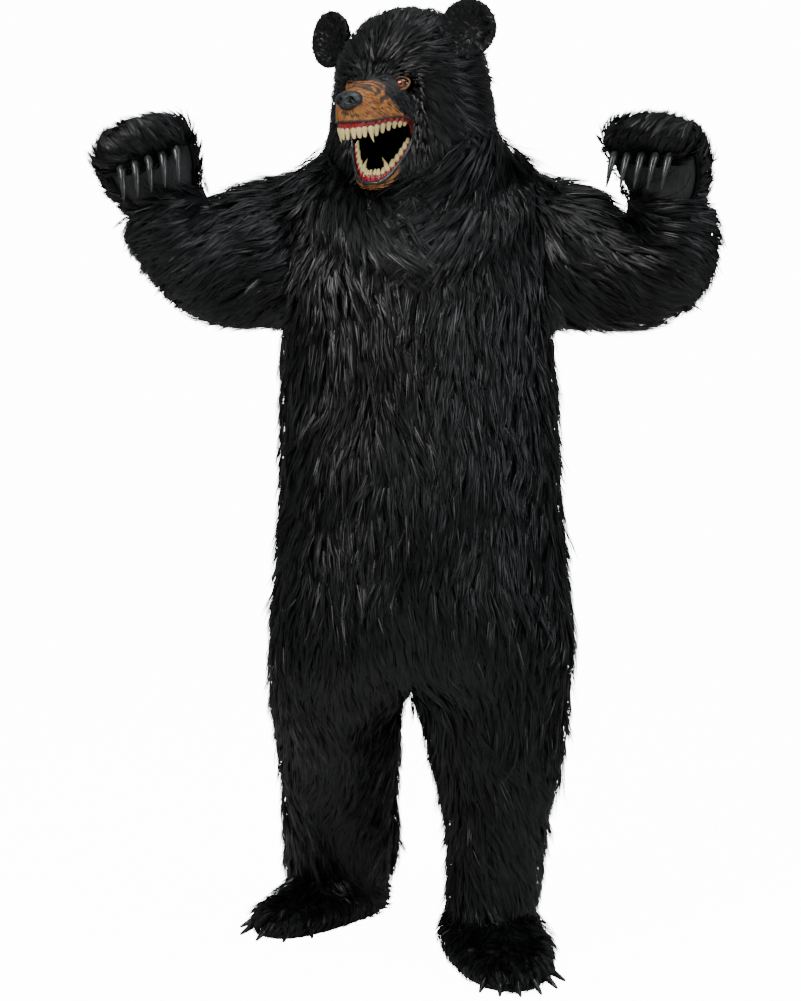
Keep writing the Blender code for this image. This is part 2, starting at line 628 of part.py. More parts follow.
def build_suit():
    """The jumpsuit: four body panels, two for each leg, two sleeves and a zip in the middle back seam."""
    skin = Skin()
    rows = [skin.add(torso_ring(row)) for row in TORSO_ROWS]
    upper = [skin.add(torso_ring(row)) for row in ARMHOLE_ROWS]
    yoke = [skin.add(torso_ring(row)) for row in YOKE_ROWS]
    quarter = TORSO_COLUMNS // 4
    hole = {side * quarter + i for side in (1, 3) for i in range(-ARMHOLE_REACH, ARMHOLE_REACH)}
    for low, high in zip(rows, rows[1:]):
        skin.strip(low, high, suit_panel)
    for low, high in zip([rows[-1]] + upper, upper):
        skin.strip(low, high, lambda c: None if c in hole else suit_panel(c))
    for low, high in zip([upper[-1]] + yoke, yoke):
        skin.strip(low, high, suit_panel)

    crotch = skin.add(CROTCH_LINE)
    hip = rows[0]
    left_loop = hip[: 2 * quarter + 1] + crotch[::-1]
    right_loop = hip[2 * quarter :] + [hip[0]] + crotch
    # Each leg's columns go on from the side: the far half, the near half, then the last of the inseam.
    first, last = quarter, (len(crotch) + 1) // 2
    middle = TUBE_COLUMNS - first - last
    near, far = "suit_leg_front_left", "suit_leg_back_left"
    left_panels = [near] * first + [far] * middle + [near] * last
    near, far = "suit_leg_front_right", "suit_leg_back_right"
    right_panels = [far] * first + [near] * middle + [far] * last
    hems = {}
    for side, loop, rings, panels, side_angle in (
        ("left", left_loop, LEFT_LEG_RINGS, left_panels, 90),
        ("right", right_loop, RIGHT_LEG_RINGS, right_panels, 270),
    ):
        start_angle = side_angle - 360 * quarter / TUBE_COLUMNS
        upper_ring = loop
        for row in rings:
            ring = skin.add(leg_ring(row, start_angle))
            skin.strip(ring, upper_ring, lambda c, names=panels: names[c])
            hems[side] = (upper_ring, ring)
            upper_ring = ring

    loops = {}
    for side, rings in (("left", LEFT_SLEEVE_RINGS), ("right", RIGHT_SLEEVE_RINGS)):
        loop = armhole_loop([rows[-1]] + upper, side)
        loops[side] = loop
        inner_ring = loop
        for number, row in enumerate(rings):
            ring = skin.add(sleeve_ring(row))
            skin.strip(inner_ring, ring, lambda c, name=f"sleeve_{side}": name)
            if number == 0:
                loops[side] = loop + ring
            inner_ring = ring
        cuff = mitt_ring(MITT_CUFF_RING, side)
        end = mitt_ring(MITT_CUFF_RING, side, FUR_WALL + SEAT)
        skin.strip(inner_ring, skin.add(end, unit(end - cuff)), lambda c, name=f"sleeve_{side}": name)

    near_crotch = crotch + [hip[c] for c in (-1, 0, 1, 2 * quarter - 1, 2 * quarter, 2 * quarter + 1)]
    skin.relax(near_crotch, 0.35, 2)
    skin.relax(loops["left"] + loops["right"], 0.35, 2)
    skin.turn_out()
    skin.press(FOLDS)
    for side in ("left", "right"):
        for panel in ("suit_front", "suit_back", "suit_leg_front", "suit_leg_back", "sleeve"):
            add_panel(f"{panel}_{side}", skin, f"{panel}_{side}")
    add_zip(skin, [row[2 * quarter] for row in (rows + upper + yoke)[::-1][:ZIP_LENGTH_ROWS]])
    out = skin.normals()
    insides = {}
    for side, pair in hems.items():
        insides[side] = [skin.points[ring] - (FUR_WALL + SEAT) * out[ring] for ring in pair]
    return skin, rows + upper + yoke, insides


def add_zip(skin, seam):
    """The zip's tape, lying inside the middle back seam from the neck edge down."""
    out = skin.normals()[seam]
    middle = skin.points[seam]
    across = np.array((ZIP_HALF_WIDTH, 0.0, 0.0))
    near = middle - (FUR_WALL + SEAT) * out - (0.0, ZIP_DROP, 0.0)
    far = near - ZIP_THICKNESS * out
    rings = np.stack((near - across, near + across, far + across, far - across), axis=1)
    add_object("back_zip", *lofted(rings), "zip_tape")


def lofted(rings, ends=True):
    """Points and faces of a closed form through rings that each have as many points."""
    rings = np.asarray(rings)
    count, columns = rings.shape[:2]
    faces = []
    for r in range(count - 1):
        for c in range(columns):
            d = (c + 1) % columns
            a, b = r * columns, (r + 1) * columns
            faces.append((a + c, a + d, b + d, b + c))
    if ends:
        faces.append(tuple(range(columns))[::-1])
        faces.append(tuple(range((count - 1) * columns, count * columns)))
    return rings.reshape(-1, 3), faces


def add_claw(name, surface, start, towards, down, length, radius):
    """A curved, pointed claw whose flat root lies on a surface, found along a ray."""
    place, normal, _, _ = surface.ray_cast(Vector(start), Vector(towards))
    normal = np.array(normal)
    if normal @ np.asarray(towards) < 0:
        normal = -normal
    root = np.array(place) + SEAT * normal
    angle = 2 * math.pi * np.arange(CLAW_SIDES)[:, None] / CLAW_SIDES
    centre, heading, before = root, normal, 0.0
    side = unit(np.cross(normal, down) + (0.0, 0.0, 1e-6))
    rings = []
    for along, size in CLAW_RINGS:
        bend = min(1.0, CLAW_BEND * along)
        if along:
            heading = unit(normal * (1 - bend) + np.asarray(down) * bend)
            centre = centre + heading * length * (along - before)
        before = along
        up = unit(np.cross(side, heading))
        rings.append(centre + radius * size * (side * np.cos(angle) + up * np.sin(angle)))
    add_object(name, *lofted(rings), "claw_plastic")


def build_mitt(side):
    """A mitt: furry back, smooth palm and five claws at the curled fingers' ends."""
    skin = Skin()
    rings = [skin.add(mitt_ring(number, side)) for number in range(len(MITT_RINGS))]
    palm_middle = int(np.argmin(np.sin(mitt_angles(side))))
    palm = {(palm_middle + i) % TUBE_COLUMNS for i in range(-PALM_HALF_COLUMNS, PALM_HALF_COLUMNS)}
    for number, (low, high) in enumerate(zip(rings, rings[1:])):
        with_palm = number in PALM_ROWS
        skin.strip(low, high, lambda c: "palm" if with_palm and c in palm else "back")
    tip = skin.add([skin.points[rings[-1]].mean(axis=0)])[0]
    for c in range(TUBE_COLUMNS):
        skin.face((rings[-1][c], rings[-1][(c + 1) % TUBE_COLUMNS], tip), "back")
    skin.turn_out()
    add_panel(f"mitt_{side}_back", skin, "back")
    add_panel(f"mitt_{side}_palm", skin, "palm", "palm_cloth", FUR_WALL - PALM_WALL, FUR_WALL)
    surface = surface_of(skin)
    sideways = MITT_PLACES[side][4] * MITT_RINGS[-1][0]
    slant = math.radians(MITT_PLACES[side][3])
    for number in range(MITT_CLAWS):
        x = (number - (MITT_CLAWS - 1) / 2) * MITT_CLAW_SPACING + sideways
        start, ahead = place_mitt(np.array([(x, *place) for place in MITT_CLAW_AIM]), side)
        down = np.array((math.sin(slant), MITT_CLAW_FORWARD, -math.cos(slant)))
        name = f"mitt_{side}_claw_{number + 1}"
        add_claw(name, surface, start, unit(ahead - start), unit(down), MITT_CLAW_LENGTH, MITT_CLAW_RADIUS)


def boot_ring(row, side, first_angle):
    """One level ring of the foot, in the leg's columns."""
    height, heel, toe, half_width = row
    ankle_x, ankle_y, heading, wide, _ = BOOT_PLACES[side]
    angle = np.radians(first_angle + 360 * np.arange(TUBE_COLUMNS) / TUBE_COLUMNS - heading)
    along = eased(np.cos(angle), 0.9)
    ahead = np.where(along > 0, toe, heel) * along
    x = half_width * wide * eased(np.sin(angle), 0.8)
    points = turn_about_up(np.stack((x, -ahead, np.full(TUBE_COLUMNS, height)), axis=1), heading)
    return points + np.array((ankle_x, ankle_y, 0.0))


def build_boot(side, leg_insides, side_angle):
    """A boot cover: furry upper, flat sole and claws along the toe."""
    skin = Skin()
    first = side_angle - 360 * (TORSO_COLUMNS // 4) / TUBE_COLUMNS
    foot = [skin.add(boot_ring(row, side, first)) for row in BOOT_RINGS]
    above, hem = leg_insides
    middle = hem.mean(axis=0)
    axis = above.mean(axis=0) - middle
    rise = (BOOT_TOP_HEIGHT - middle[2]) / axis[2]
    top = middle + rise * axis + (hem - middle) * (BOOT_TOP_SCALE, BOOT_TOP_SCALE, 0)
    rings = foot + [skin.add(hem), skin.add(top)]
    for low, high in zip(rings, rings[1:]):
        skin.strip(low, high, lambda c: "upper")
    skin.turn_out()
    add_panel(f"boot_{side}_upper", skin, "upper")
    lower = boot_ring(BOOT_RINGS[0], side, first) * (1, 1, 0)
    upper = lower + (0, 0, SOLE_WALL)
    add_object(f"boot_{side}_sole", *lofted((lower, upper)), "sole_rubber")
    surface = surface_of(skin)
    ankle_x, ankle_y, heading, _, bearings = BOOT_PLACES[side]
    for number, bearing in enumerate(bearings):
        towards = turn_about_up(np.array((0.0, -1.0, 0.0)), heading + bearing)
        inside = turn_about_up(np.array((0.0, -BOOT_CLAW_REACH, 0.0)), heading)
        start = inside + (ankle_x, ankle_y, BOOT_CLAW_HEIGHT)
        down = unit(towards + (0.0, 0.0, -BOOT_CLAW_DROOP))
        name = f"boot_{side}_claw_{number + 1}"
        add_claw(name, surface, start, towards, down, BOOT_CLAW_LENGTH, BOOT_CLAW_RADIUS)


def hood_ring(heights):
    """One ring of the hood; heights is one number or one for each column."""
    angle = 2 * math.pi * np.arange(TORSO_COLUMNS) / TORSO_COLUMNS
    heights = np.broadcast_to(heights, angle.shape)
    level, side, front, back = np.array(HEAD_PROFILE).T
    reach = np.where(np.cos(angle) > 0, np.interp(heights, level, front), np.interp(heights, level, back))
    x = np.interp(heights, level, side) * np.sin(angle)
    return from_mask(np.stack((x, reach * np.cos(angle), heights), axis=1))


def seam_heights():
    """The hood's lower edge, low under the chin and higher at the sides."""
    angle = 2 * math.pi * np.arange(TORSO_COLUMNS) / TORSO_COLUMNS
    facing = np.where(np.cos(angle) > 0, NECK_SEAM["front"], NECK_SEAM["back"])
    return NECK_SEAM["side"] * np.sin(angle) ** 2 + facing * np.cos(angle) ** 2


def add_hood_skin(skin):
    """The mask's furry head in two halves, with its face opening. Returns the rows from the brow down."""
    top = skin.add(from_mask([(0.0, 0.0, CROWN_TOP)]))[0]
    crown = [skin.add(hood_ring(height)) for height in CROWN_HEIGHTS]
    low = seam_heights()
    share = np.arange(OPENING_ROWS + 1) / OPENING_ROWS
    sides = [skin.add(hood_ring(BROW_HEIGHT + (low - BROW_HEIGHT) * s)) for s in share]
    half = TORSO_COLUMNS // 2

    def name_of(column):
        return "hood_left" if column < half else "hood_right"

    for c in range(TORSO_COLUMNS):
        skin.face((crown[0][c], crown[0][(c + 1) % TORSO_COLUMNS], top), name_of(c))
    for high, lower in zip(crown, crown[1:] + sides[:1]):
        skin.strip(lower, high, name_of)
    opening = {c % TORSO_COLUMNS for c in range(-OPENING_REACH, OPENING_REACH)}
    for high, lower in zip(sides, sides[1:]):
        skin.strip(lower, high, lambda c: None if c in opening else name_of(c))
    return sides


def bib_rows_on(suit, suit_rows):
    """The bib's rings that rest on the suit: the suit's own points, moved out, and their normals."""
    out = suit.normals()
    lift = FUR_WALL + 2 * SEAT
    armhole_start = len(TORSO_ROWS) - 1
    highest = armhole_start + len(ARMHOLE_ROWS) + 1.0
    angle = 2 * math.pi * np.arange(TORSO_COLUMNS) / TORSO_COLUMNS
    facing = np.where(np.cos(angle) > 0, BIB_EDGE_ROWS["front"], BIB_EDGE_ROWS["back"])
    beside = math.cos(2 * math.pi * (TORSO_COLUMNS // 4 - ARMHOLE_REACH) / TORSO_COLUMNS)
    inwards = np.clip((np.abs(np.cos(angle)) - beside) / (1 - beside), 0, 1) ** BIB_EDGE_CURVE
    edge = armhole_start + BIB_EDGE_ROWS["side"] + (facing - BIB_EDGE_ROWS["side"]) * inwards
    resting = []
    for number in range(BIB_REST_ROWS + 1):
        level = highest + (edge - highest) * number / BIB_REST_ROWS
        below = np.minimum(level.astype(int), len(suit_rows) - 2)
        part = (level - below)[:, None]
        a = [suit_rows[row][column] for column, row in enumerate(below)]
        b = [suit_rows[row + 1][column] for column, row in enumerate(below)]
        normal = unit(out[a] * (1 - part) + out[b] * part)
        resting.append((suit.points[a] * (1 - part) + suit.points[b] * part + lift * normal, normal))
    return resting


def add_bib_skin(skin, seam, resting):
    """The mask's bib: from the hood's seam out over the suit's shoulders, front and back."""
    seam = seam[HOOD_COLUMN_SHIFT:] + seam[:HOOD_COLUMN_SHIFT]
    rows = [seam]
    for number in range(1, BIB_FLARE_ROWS):
        part = number / BIB_FLARE_ROWS
        ring = skin.points[seam] * (1 - part) + resting[0][0] * part
        outwards = unit((ring - ring.mean(axis=0)) * (1, 1, 0))
        facing = np.clip(-outwards[:, 1:2], 0, 1)
        bulge = BIB_BULGE["side"] + (BIB_BULGE["front"] - BIB_BULGE["side"]) * facing
        rows.append(skin.add(ring + bulge * outwards))
    rows += [skin.add(ring, normals) for ring, normals in resting]
    quarter = TORSO_COLUMNS // 4

    def name_of(column):
        return "bib_back" if quarter <= column < 3 * quarter else "bib_front"

    for high, low in zip(rows, rows[1:]):
        skin.strip(low, high, name_of)
    return rows


def arch(section, count, upper):
    """One section of the muzzle or jaw, from the wearer's right lip to the left one."""
    lip_x, lip_f, lip_z, middle_f, middle_z = section
    angle = math.pi * np.arange(count) / (count - 1)
    rise = np.sin(angle)
    x = -lip_x * eased(np.cos(angle), 0.80)
    f = lip_f + (middle_f - lip_f) * rise**2
    z = lip_z + (middle_z - lip_z) * rise ** (0.85 if upper else 0.75)
    return from_mask(np.stack((x, f, z), axis=1))


def add_face_skin(skin, sides):
    """The latex face in the hood's opening: upper face with the muzzle, and lower jaw.

    Returns each one's rows of points, from the opening's edge to the front.
    """
    columns = [c % TORSO_COLUMNS for c in range(-OPENING_REACH, OPENING_REACH + 1)]
    split = OPENING_ROWS // 2
    right, left = columns[0], columns[-1]
    upper_edge = [sides[r][right] for r in range(split, 0, -1)] + [sides[0][c] for c in columns]
    upper_edge += [sides[r][left] for r in range(1, split + 1)]
    lower_edge = [sides[r][right] for r in range(split, OPENING_ROWS)]
    lower_edge += [sides[OPENING_ROWS][c] for c in columns]
    lower_edge += [sides[r][left] for r in range(OPENING_ROWS - 1, split - 1, -1)]
    made = {}
    for name, edge, sections, lip in (
        ("upper_face", upper_edge, MUZZLE_SECTIONS, LIP_FRONT["upper"]),
        ("lower_jaw", lower_edge, JAW_SECTIONS, LIP_FRONT["lower"]),
    ):
        count = len(edge)
        half = count // 2
        rows = [edge] + [skin.add(arch(section, count, name == "upper_face")) for section in sections]
        if name == "lower_jaw":
            rows[1][0] = made["upper_face"][1][0]
            rows[1][-1] = made["upper_face"][1][-1]
        for back, front in zip(rows, rows[1:]):
            skin.strip(back, front, lambda c: name, closed=False)
        front = rows[-1]
        ahead = from_mask([(0, FRONT_BULGE, 0)])[0] - from_mask([(0, 0, 0)])[0]
        middle = skin.add(from_mask([lip]))
        for i in range(1, half):
            pair = skin.points[[front[i], front[count - 1 - i]]].mean(axis=0)
            middle += skin.add([pair + ahead])
        middle.append(front[half])
        for i in range(half):
            skin.face((front[i], front[i + 1], middle[i + 1], middle[i]), name)
            skin.face((front[count - 1 - i], front[count - 2 - i], middle[i + 1], middle[i]), name)
        made[name] = rows + [middle]
    return made


def build_mask(suit, suit_rows):
    """The mask: hood, bib and latex face as one skin, then what is set on it."""
    skin = Skin()
    sides = add_hood_skin(skin)
    bib = add_bib_skin(skin, sides[-1], bib_rows_on(suit, suit_rows))
    face = add_face_skin(skin, sides)
    skin.turn_out()
    resting = {i for row in bib[2:] for i in row}
    skin.relax(bib[1], 0.4, 2)
    for _ in range(BIB_SOFTENINGS):
        lift_clear(skin, resting, surface_of(suit), FUR_WALL, BIB_GAP)
        skin.relax(sorted(resting), 0.5, 1)
    lift_clear(skin, resting, surface_of(suit), FUR_WALL, BIB_GAP)
    for panel in ("hood_left", "hood_right", "bib_front", "bib_back"):
        add_panel(panel, skin, panel)
    upper = add_panel("upper_face", skin, "upper_face", "tan_latex", 0.0, LATEX_WALL, LATEX_SETBACK)
    add_panel("lower_jaw", skin, "lower_jaw", "tan_latex", 0.0, LATEX_WALL, LATEX_SETBACK)
    add_ears(skin, sides)
    add_eyes(skin, upper)
    add_nose(skin, face["upper_face"])
    add_gum_and_teeth("upper", MUZZLE_SECTIONS, UPPER_TEETH)
    add_gum_and_teeth("lower", JAW_SECTIONS, LOWER_TEETH)


def add_eyes(skin, upper):
    """Two glossy eyes, each in a socket cut through the upper face."""
    surface = surface_of(skin, "upper_face")
    for side, sign in (("left", 1), ("right", -1)):
        x, z = EYE_PLACE
        start, ahead = from_mask([(sign * x, 0.0, z), (sign * x, 1.0, z)])
        place, _, _, _ = surface.ray_cast(Vector(start), Vector(ahead - start))
        add_ellipsoid(f"eye_{side}", np.array(place), EYE_SIZES, sign * EYE_TURN, "eye_plastic", False)
        grown = [size + SEAT for size in EYE_SIZES]
        socket = add_ellipsoid(f"socket_{side}", np.array(place), grown, sign * EYE_TURN, "eye_plastic", True)
        cut(upper, socket)


def add_ellipsoid(name, place, sizes, turn, material_name, cutter):
    """An ellipsoid in the mask's directions, turned outwards by some degrees."""
    shape = bmesh.new()
    bmesh.ops.create_uvsphere(shape, u_segments=12, v_segments=8, radius=1.0)
    points = np.array([v.co[:] for v in shape.verts]) * (sizes[0], sizes[1], sizes[2])
    faces = [tuple(v.index for v in face.verts) for face in shape.faces]
    shape.free()
    turned = turn_about_up(points, turn - HEAD_TURN)
    return add_object(name, turned + place, faces, material_name, cutter)


def cut(target, cutter):
    """Takes the cutter's form out of the target."""
    boolean = target.modifiers.new(cutter.name, "BOOLEAN")
    boolean.operation = "DIFFERENCE"
    boolean.solver = "EXACT"
    boolean.object = cutter


def add_nose(skin, rows):
    """The nose: a rounded form cut to lie on the muzzle's end."""
    muzzle = rows[1:-1]
    ends = [(row[0], row[-1]) for row in muzzle]
    faces = [face for face in skin.panel_faces("upper_face") if not set(face) & set(rows[0])]
    faces += [(low[0], low[1], high[1], high[0]) for low, high in zip(ends, ends[1:])]
    faces.append((ends[-1][0], ends[-1][1], rows[-1][0]))
    faces.append(tuple(muzzle[0]))
    grown = skin.points + SEAT * skin.normals()
    form = add_object("muzzle_form", grown, triangles(faces), "nose_latex", cutter=True)
    place = from_mask([NOSE_PLACE])[0]
    nose = add_ellipsoid("nose", place, NOSE_SIZES, 0, "nose_latex", False)
    cut(nose, form)


def lip_path(sections, jaw):
    """The lip's line from the right corner round the front to the left corner, in the mask's frame."""
    one_side = [(s[0], s[1], s[2]) for s in sections]
    right = [(-x, f, z) for x, f, z in one_side]
    return np.array(right + [LIP_FRONT[jaw]] + one_side[::-1])


def along_path(path, distances):
    """Points at distances from the path's middle, and the directions towards the mouth's inside."""
    steps = np.linalg.norm(np.diff(path, axis=0), axis=1)
    travelled = np.concatenate(((0.0,), np.cumsum(steps)))
    travelled -= travelled[len(path) // 2]
    points = np.stack([np.interp(distances, travelled, path[:, i]) for i in range(3)], axis=1)
    ahead = np.stack([np.interp(distances + 0.004, travelled, path[:, i]) for i in range(3)], axis=1)
    behind = np.stack([np.interp(distances - 0.004, travelled, path[:, i]) for i in range(3)], axis=1)
    along = unit((ahead - behind) * (1, 1, 0))
    inside = np.cross(along, (0.0, 0.0, 1.0))
    inside *= np.sign(np.sum(inside * (np.array((0.0, 0.09, 0.0)) - points), axis=1))[:, None]
    return points, unit(inside)


def add_gum_and_teeth(jaw, sections, teeth):
    """A gum along the inside of the lip, and a row of teeth that share one root strip."""
    path = lip_path(sections, jaw)
    sign = -1 if jaw == "upper" else 1
    marks = [0.0]
    lengths = [0.30 * teeth[0][0] * MM]
    for length, width in teeth:
        start = marks[-1]
        marks += [start + 0.5 * width * MM, start + width * MM]
        lengths += [length * MM, 2.5 * MM]
    marks = np.array(marks)
    lengths = np.array(lengths)
    distances = np.concatenate((-marks[:0:-1], marks))
    reach = np.concatenate((lengths[:0:-1], lengths))
    reach[len(marks) - 1] = 3 * MM
    span = 1.02 * marks[-1]
    gum_at = np.concatenate(((-span,), distances, (span,)))
    base, end = GUM_HEIGHT[jaw]
    ends = end + sign * GUM_RISE[jaw] * np.exp(-((gum_at / GUM_RISE_REACH) ** 2))
    points, inside = along_path(path, gum_at)
    outer = points + GUM_INSET * inside
    inner = points + (GUM_INSET + GUM_THICKNESS) * inside
    up = np.array((0.0, 0.0, 1.0))
    rings = [(o + up * base, i + up * base, i + up * e, o + up * e) for o, i, e in zip(outer, inner, ends)]
    add_object(f"{jaw}_gum", *lofted([from_mask(ring) for ring in rings]), "gum_latex")
    points, inside = along_path(path, distances)
    middle = GUM_INSET + GUM_THICKNESS / 2
    roots = ends[1:-1] + sign * TEETH_GAP
    rings = []
    for point, inwards, length, root in zip(points, inside, reach, roots):
        half = TEETH_THICKNESS / 2
        tip_half = half * (0.30 if length > 5 * MM else 0.9)
        tip = root + sign * length
        ring = (
            point + (middle - half) * inwards + up * root,
            point + (middle + half) * inwards + up * root,
            point + (middle + tip_half) * inwards + up * tip,
            point + (middle - tip_half) * inwards + up * tip,
        )
        rings.append(from_mask(ring))
    add_object(f"{jaw}_teeth", *lofted(rings), "tooth_plastic")


def add_ears(hood, sides):
    """Two cupped ears, cut to lie on the hood."""
    head = Skin()
    out = hood.normals()
    dome_rows = 1 + TORSO_COLUMNS * (len(CROWN_HEIGHTS) + 1)
    head.points = (hood.points + SEAT * out)[:dome_rows]
    head.faces = [face for face in hood.faces if all(i < dome_rows for i in face)]
    head.faces.append(tuple(sides[0]))
    cutter = add_object("head_form", head.points, head.faces, "black_fur", cutter=True)
    for side, sign in (("left", 1), ("right", -1)):
        x, f, z = EAR_PLACE
        angle = 2 * math.pi * np.arange(EAR_POINTS) / EAR_POINTS
        rings = []
        for size, depth in EAR_RINGS:
            reach = size * EAR_RADIUS
            rings.append(np.stack((reach * np.cos(angle), 0 * angle - depth, reach * np.sin(angle)), axis=1))
        points = [rings[0][0]] + [p for ring in rings[1:-1] for p in ring] + [rings[-1][0]]
        last = 1 + (len(EAR_RINGS) - 3) * EAR_POINTS
        faces = []
        for c in range(EAR_POINTS):
            d = (c + 1) % EAR_POINTS
            faces.append((0, 1 + c, 1 + d))
            for a in range(1, last, EAR_POINTS):
                faces.append((a + c, a + d, a + EAR_POINTS + d, a + EAR_POINTS + c))
            faces.append((last + d, last + c, len(points) - 1))
        turned = turn_about_up(np.array(points), sign * EAR_TURN)
        in_mask = turned * (1, -1, 1) + (sign * x, f, z)
        ear = add_object(f"ear_{side}", from_mask(in_mask), faces, "black_fur")
        cut(ear, cutter)


def main():
    for old in list(bpy.data.objects):
        bpy.data.objects.remove(old)
    for collection in (COLLECTION, CUTTERS):
        bpy.context.scene.collection.children.link(collection)
    suit, suit_rows, leg_insides = build_suit()
    build_mask(suit, suit_rows)
    for side in ("left", "right"):
        build_mitt(side)
    build_boot("left", leg_insides["left"], 90)
    build_boot("right", leg_insides["right"], 270)


main()
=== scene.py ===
"""Looks of the bear mascot costume: long black fur, latex face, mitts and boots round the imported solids.

+X is the wearer's left, -Y is ahead of the wearer and the floor is at FLOOR_Z. Each fur panel is an
undercoat shell in place of its solid, with blades of fur that reach out to the solid's outer face.
"""
import math

import bmesh
import bpy
import numpy as np
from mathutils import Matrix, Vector
from mathutils.bvhtree import BVHTree
from mathutils.kdtree import KDTree


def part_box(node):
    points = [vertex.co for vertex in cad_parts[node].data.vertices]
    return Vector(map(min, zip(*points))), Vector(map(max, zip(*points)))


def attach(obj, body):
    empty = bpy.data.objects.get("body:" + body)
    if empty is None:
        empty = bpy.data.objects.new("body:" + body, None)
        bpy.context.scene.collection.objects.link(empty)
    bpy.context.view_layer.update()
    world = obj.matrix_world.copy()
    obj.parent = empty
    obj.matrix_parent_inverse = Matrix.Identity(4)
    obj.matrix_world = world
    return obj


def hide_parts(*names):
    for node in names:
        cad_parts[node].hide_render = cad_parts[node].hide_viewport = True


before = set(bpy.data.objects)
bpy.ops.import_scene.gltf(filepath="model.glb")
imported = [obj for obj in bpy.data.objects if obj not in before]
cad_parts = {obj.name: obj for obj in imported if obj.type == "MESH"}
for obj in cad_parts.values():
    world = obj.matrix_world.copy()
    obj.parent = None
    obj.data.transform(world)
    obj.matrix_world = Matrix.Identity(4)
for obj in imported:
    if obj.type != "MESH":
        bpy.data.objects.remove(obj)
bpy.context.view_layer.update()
FLOOR_Z = -1.50
MM = 0.001
TURN = 6.28  # a whole turn in radians, near enough for waves
RNG = np.random.default_rng(11)

# Camera: a little above the waist, looking slightly down.
CAMERA_PLACE = (-0.0288, -4.453, -0.235)
CAMERA_TILT = 4.289  # degrees below level
CAMERA_LENS = 79.63

# Fur: strands for each square metre, and sizes in metres.
STRAND_DENSITY = 70000
BACK_SHARE = 0.8  # of that on the suit's back
CLUMP_DENSITY = 5200
PILE_LENGTH = 0.062
GUIDE_SHARES = (0.15, 0.58, 1.0)
GUIDE_HEIGHTS = (0.55, 0.95, 1.15)
STATION_WIDTHS = (0.8, 1.0)
POINT_SHADES_ROOT_TO_TIP = (0.15, 0.15, 0.8, 0.8, 1.0)  # of a blade's tone, from the root to the tip: painted shade, darkest at the root
LOOSE_SHARE = 0.16  # of the strands, which leave their lock
FLYING_SHARE = 0.06  # of the locks, whose tips stand off, times how unruly they are

# Each furry node: undercoat's depth below the solid | strands', clumps' and lengths' share | blade width |
# how unruly its tips are | how far its tips stand off, as a share of their length
FUR_KINDS = {
    "suit": (6 * MM, 0.86, 1.0, 1.0, 1.9 * MM, 1.2, 0.04),
    "sleeve": (6 * MM, 0.90, 1.1, 1.0, 1.9 * MM, 1.6, 0.10),
    "bib": (6 * MM, 1.0, 1.1, 1.05, 1.8 * MM, 1.2, 0.06),
    "hood": (4 * MM, 1.7, 1.5, 0.80, 1.4 * MM, 0.50, -0.02),
    "mitt": (4 * MM, 1.5, 1.5, 0.62, 1.6 * MM, 1.4, 0.27),
    "boot": (4 * MM, 1.2, 1.4, 0.72, 1.8 * MM, 1.4, 0.24),
    "ear": (1.6 * MM, 3.0, 2.4, 0.13, 1.2 * MM, 0.10, 0.0),
    "upper": (0.3 * MM, 4.0, 3.0, 0.42, 1.2 * MM, 0.30, 0.15),
    "lower": (0.3 * MM, 4.0, 3.0, 0.42, 1.2 * MM, 0.30, 0.15),
}

# A palm's two curved seams, in shares of the palm's box from the thumb's side and from its top.
PALM_SEAMS = (
    ((0.90, 0.10), (0.84, 0.30), (0.74, 0.48), (0.60, 0.61), (0.42, 0.68), (0.24, 0.69)),
    ((0.93, 0.52), (0.90, 0.68), (0.82, 0.81), (0.69, 0.90), (0.54, 0.94), (0.38, 0.95)),
)

# The mask's frame: x to the wearer's left, f forward, z up.
HEAD_CENTRE = np.array((-0.010, -0.020, 0.240))
HEAD_TURN = 32

# The latex face's sections from the hood to the front: lip x, f and z | middle f and z.
MUZZLE_SECTIONS = (
    (0.074, 0.102, -0.068, 0.140, 0.030),
    (0.068, 0.126, -0.060, 0.152, 0.020),
    (0.060, 0.151, -0.060, 0.170, 0.009),
    (0.052, 0.177, -0.065, 0.191, -0.002),
    (0.042, 0.202, -0.070, 0.213, -0.012),
    (0.025, 0.219, -0.072, 0.225, -0.026),
)
JAW_SECTIONS = (
    (0.074, 0.102, -0.068, 0.113, -0.176),
    (0.069, 0.103, -0.100, 0.119, -0.185),
    (0.061, 0.112, -0.126, 0.125, -0.191),
    (0.050, 0.123, -0.149, 0.131, -0.195),
    (0.034, 0.134, -0.171, 0.137, -0.197),
    (0.017, 0.141, -0.183, 0.142, -0.196),
)
FACE_TABLES = {"upper": (MUZZLE_SECTIONS, 0.85), "lower": (JAW_SECTIONS, 0.75)}
FRONT_PLACE = 6  # five sections on, then the middle of the front
FRONT_BULGE = 4 * MM
FACE_REACH = 10 * MM
SECTION_STEP = 22 * MM  # about as far as two sections lie apart
# Where the tan paint starts: degrees from the lip | place along the sections
TAN_EDGES = {
    "upper": (
        (0, 0.0), (3, 1.0), (7, 1.5), (14, 1.7), (30, 2.2),
        (41, 2.3), (53, 1.7), (65, 1.6), (78, 1.8), (90, 2.1),
    ),
    "lower": ((0, 2.6), (12, 2.8), (25, 2.9), (45, 2.8), (64, 2.4), (90, 2.3)),
}
STROKE_LEAN = 44  # degrees from the muzzle's length to its painted strokes; they turn upright in front
STROKE_LEAN_IN_FRONT = 34  # more than that
LATEX_DEPTH = 3 * MM
# Teeth from the middle to the mouth's corner: length and width in mm. The fourth is the canine.
TEETH = {
    "upper": (
        (21, 14), (21, 14), (21, 14), (31, 14), (21, 16), (19, 16), (16, 15), (13, 14), (10, 13), (7, 12)
    ),
    "lower": ((12, 10), (12, 10), (13, 10), (29, 14), (17, 15), (16, 15), (15, 15), (14, 14), (11, 13)),
}
CANINE_LENGTH = 25 * MM  # the canines are longer than this, the other teeth shorter
TOOTH_ROOT = 3 * MM  # how deep a tooth sits in the gum
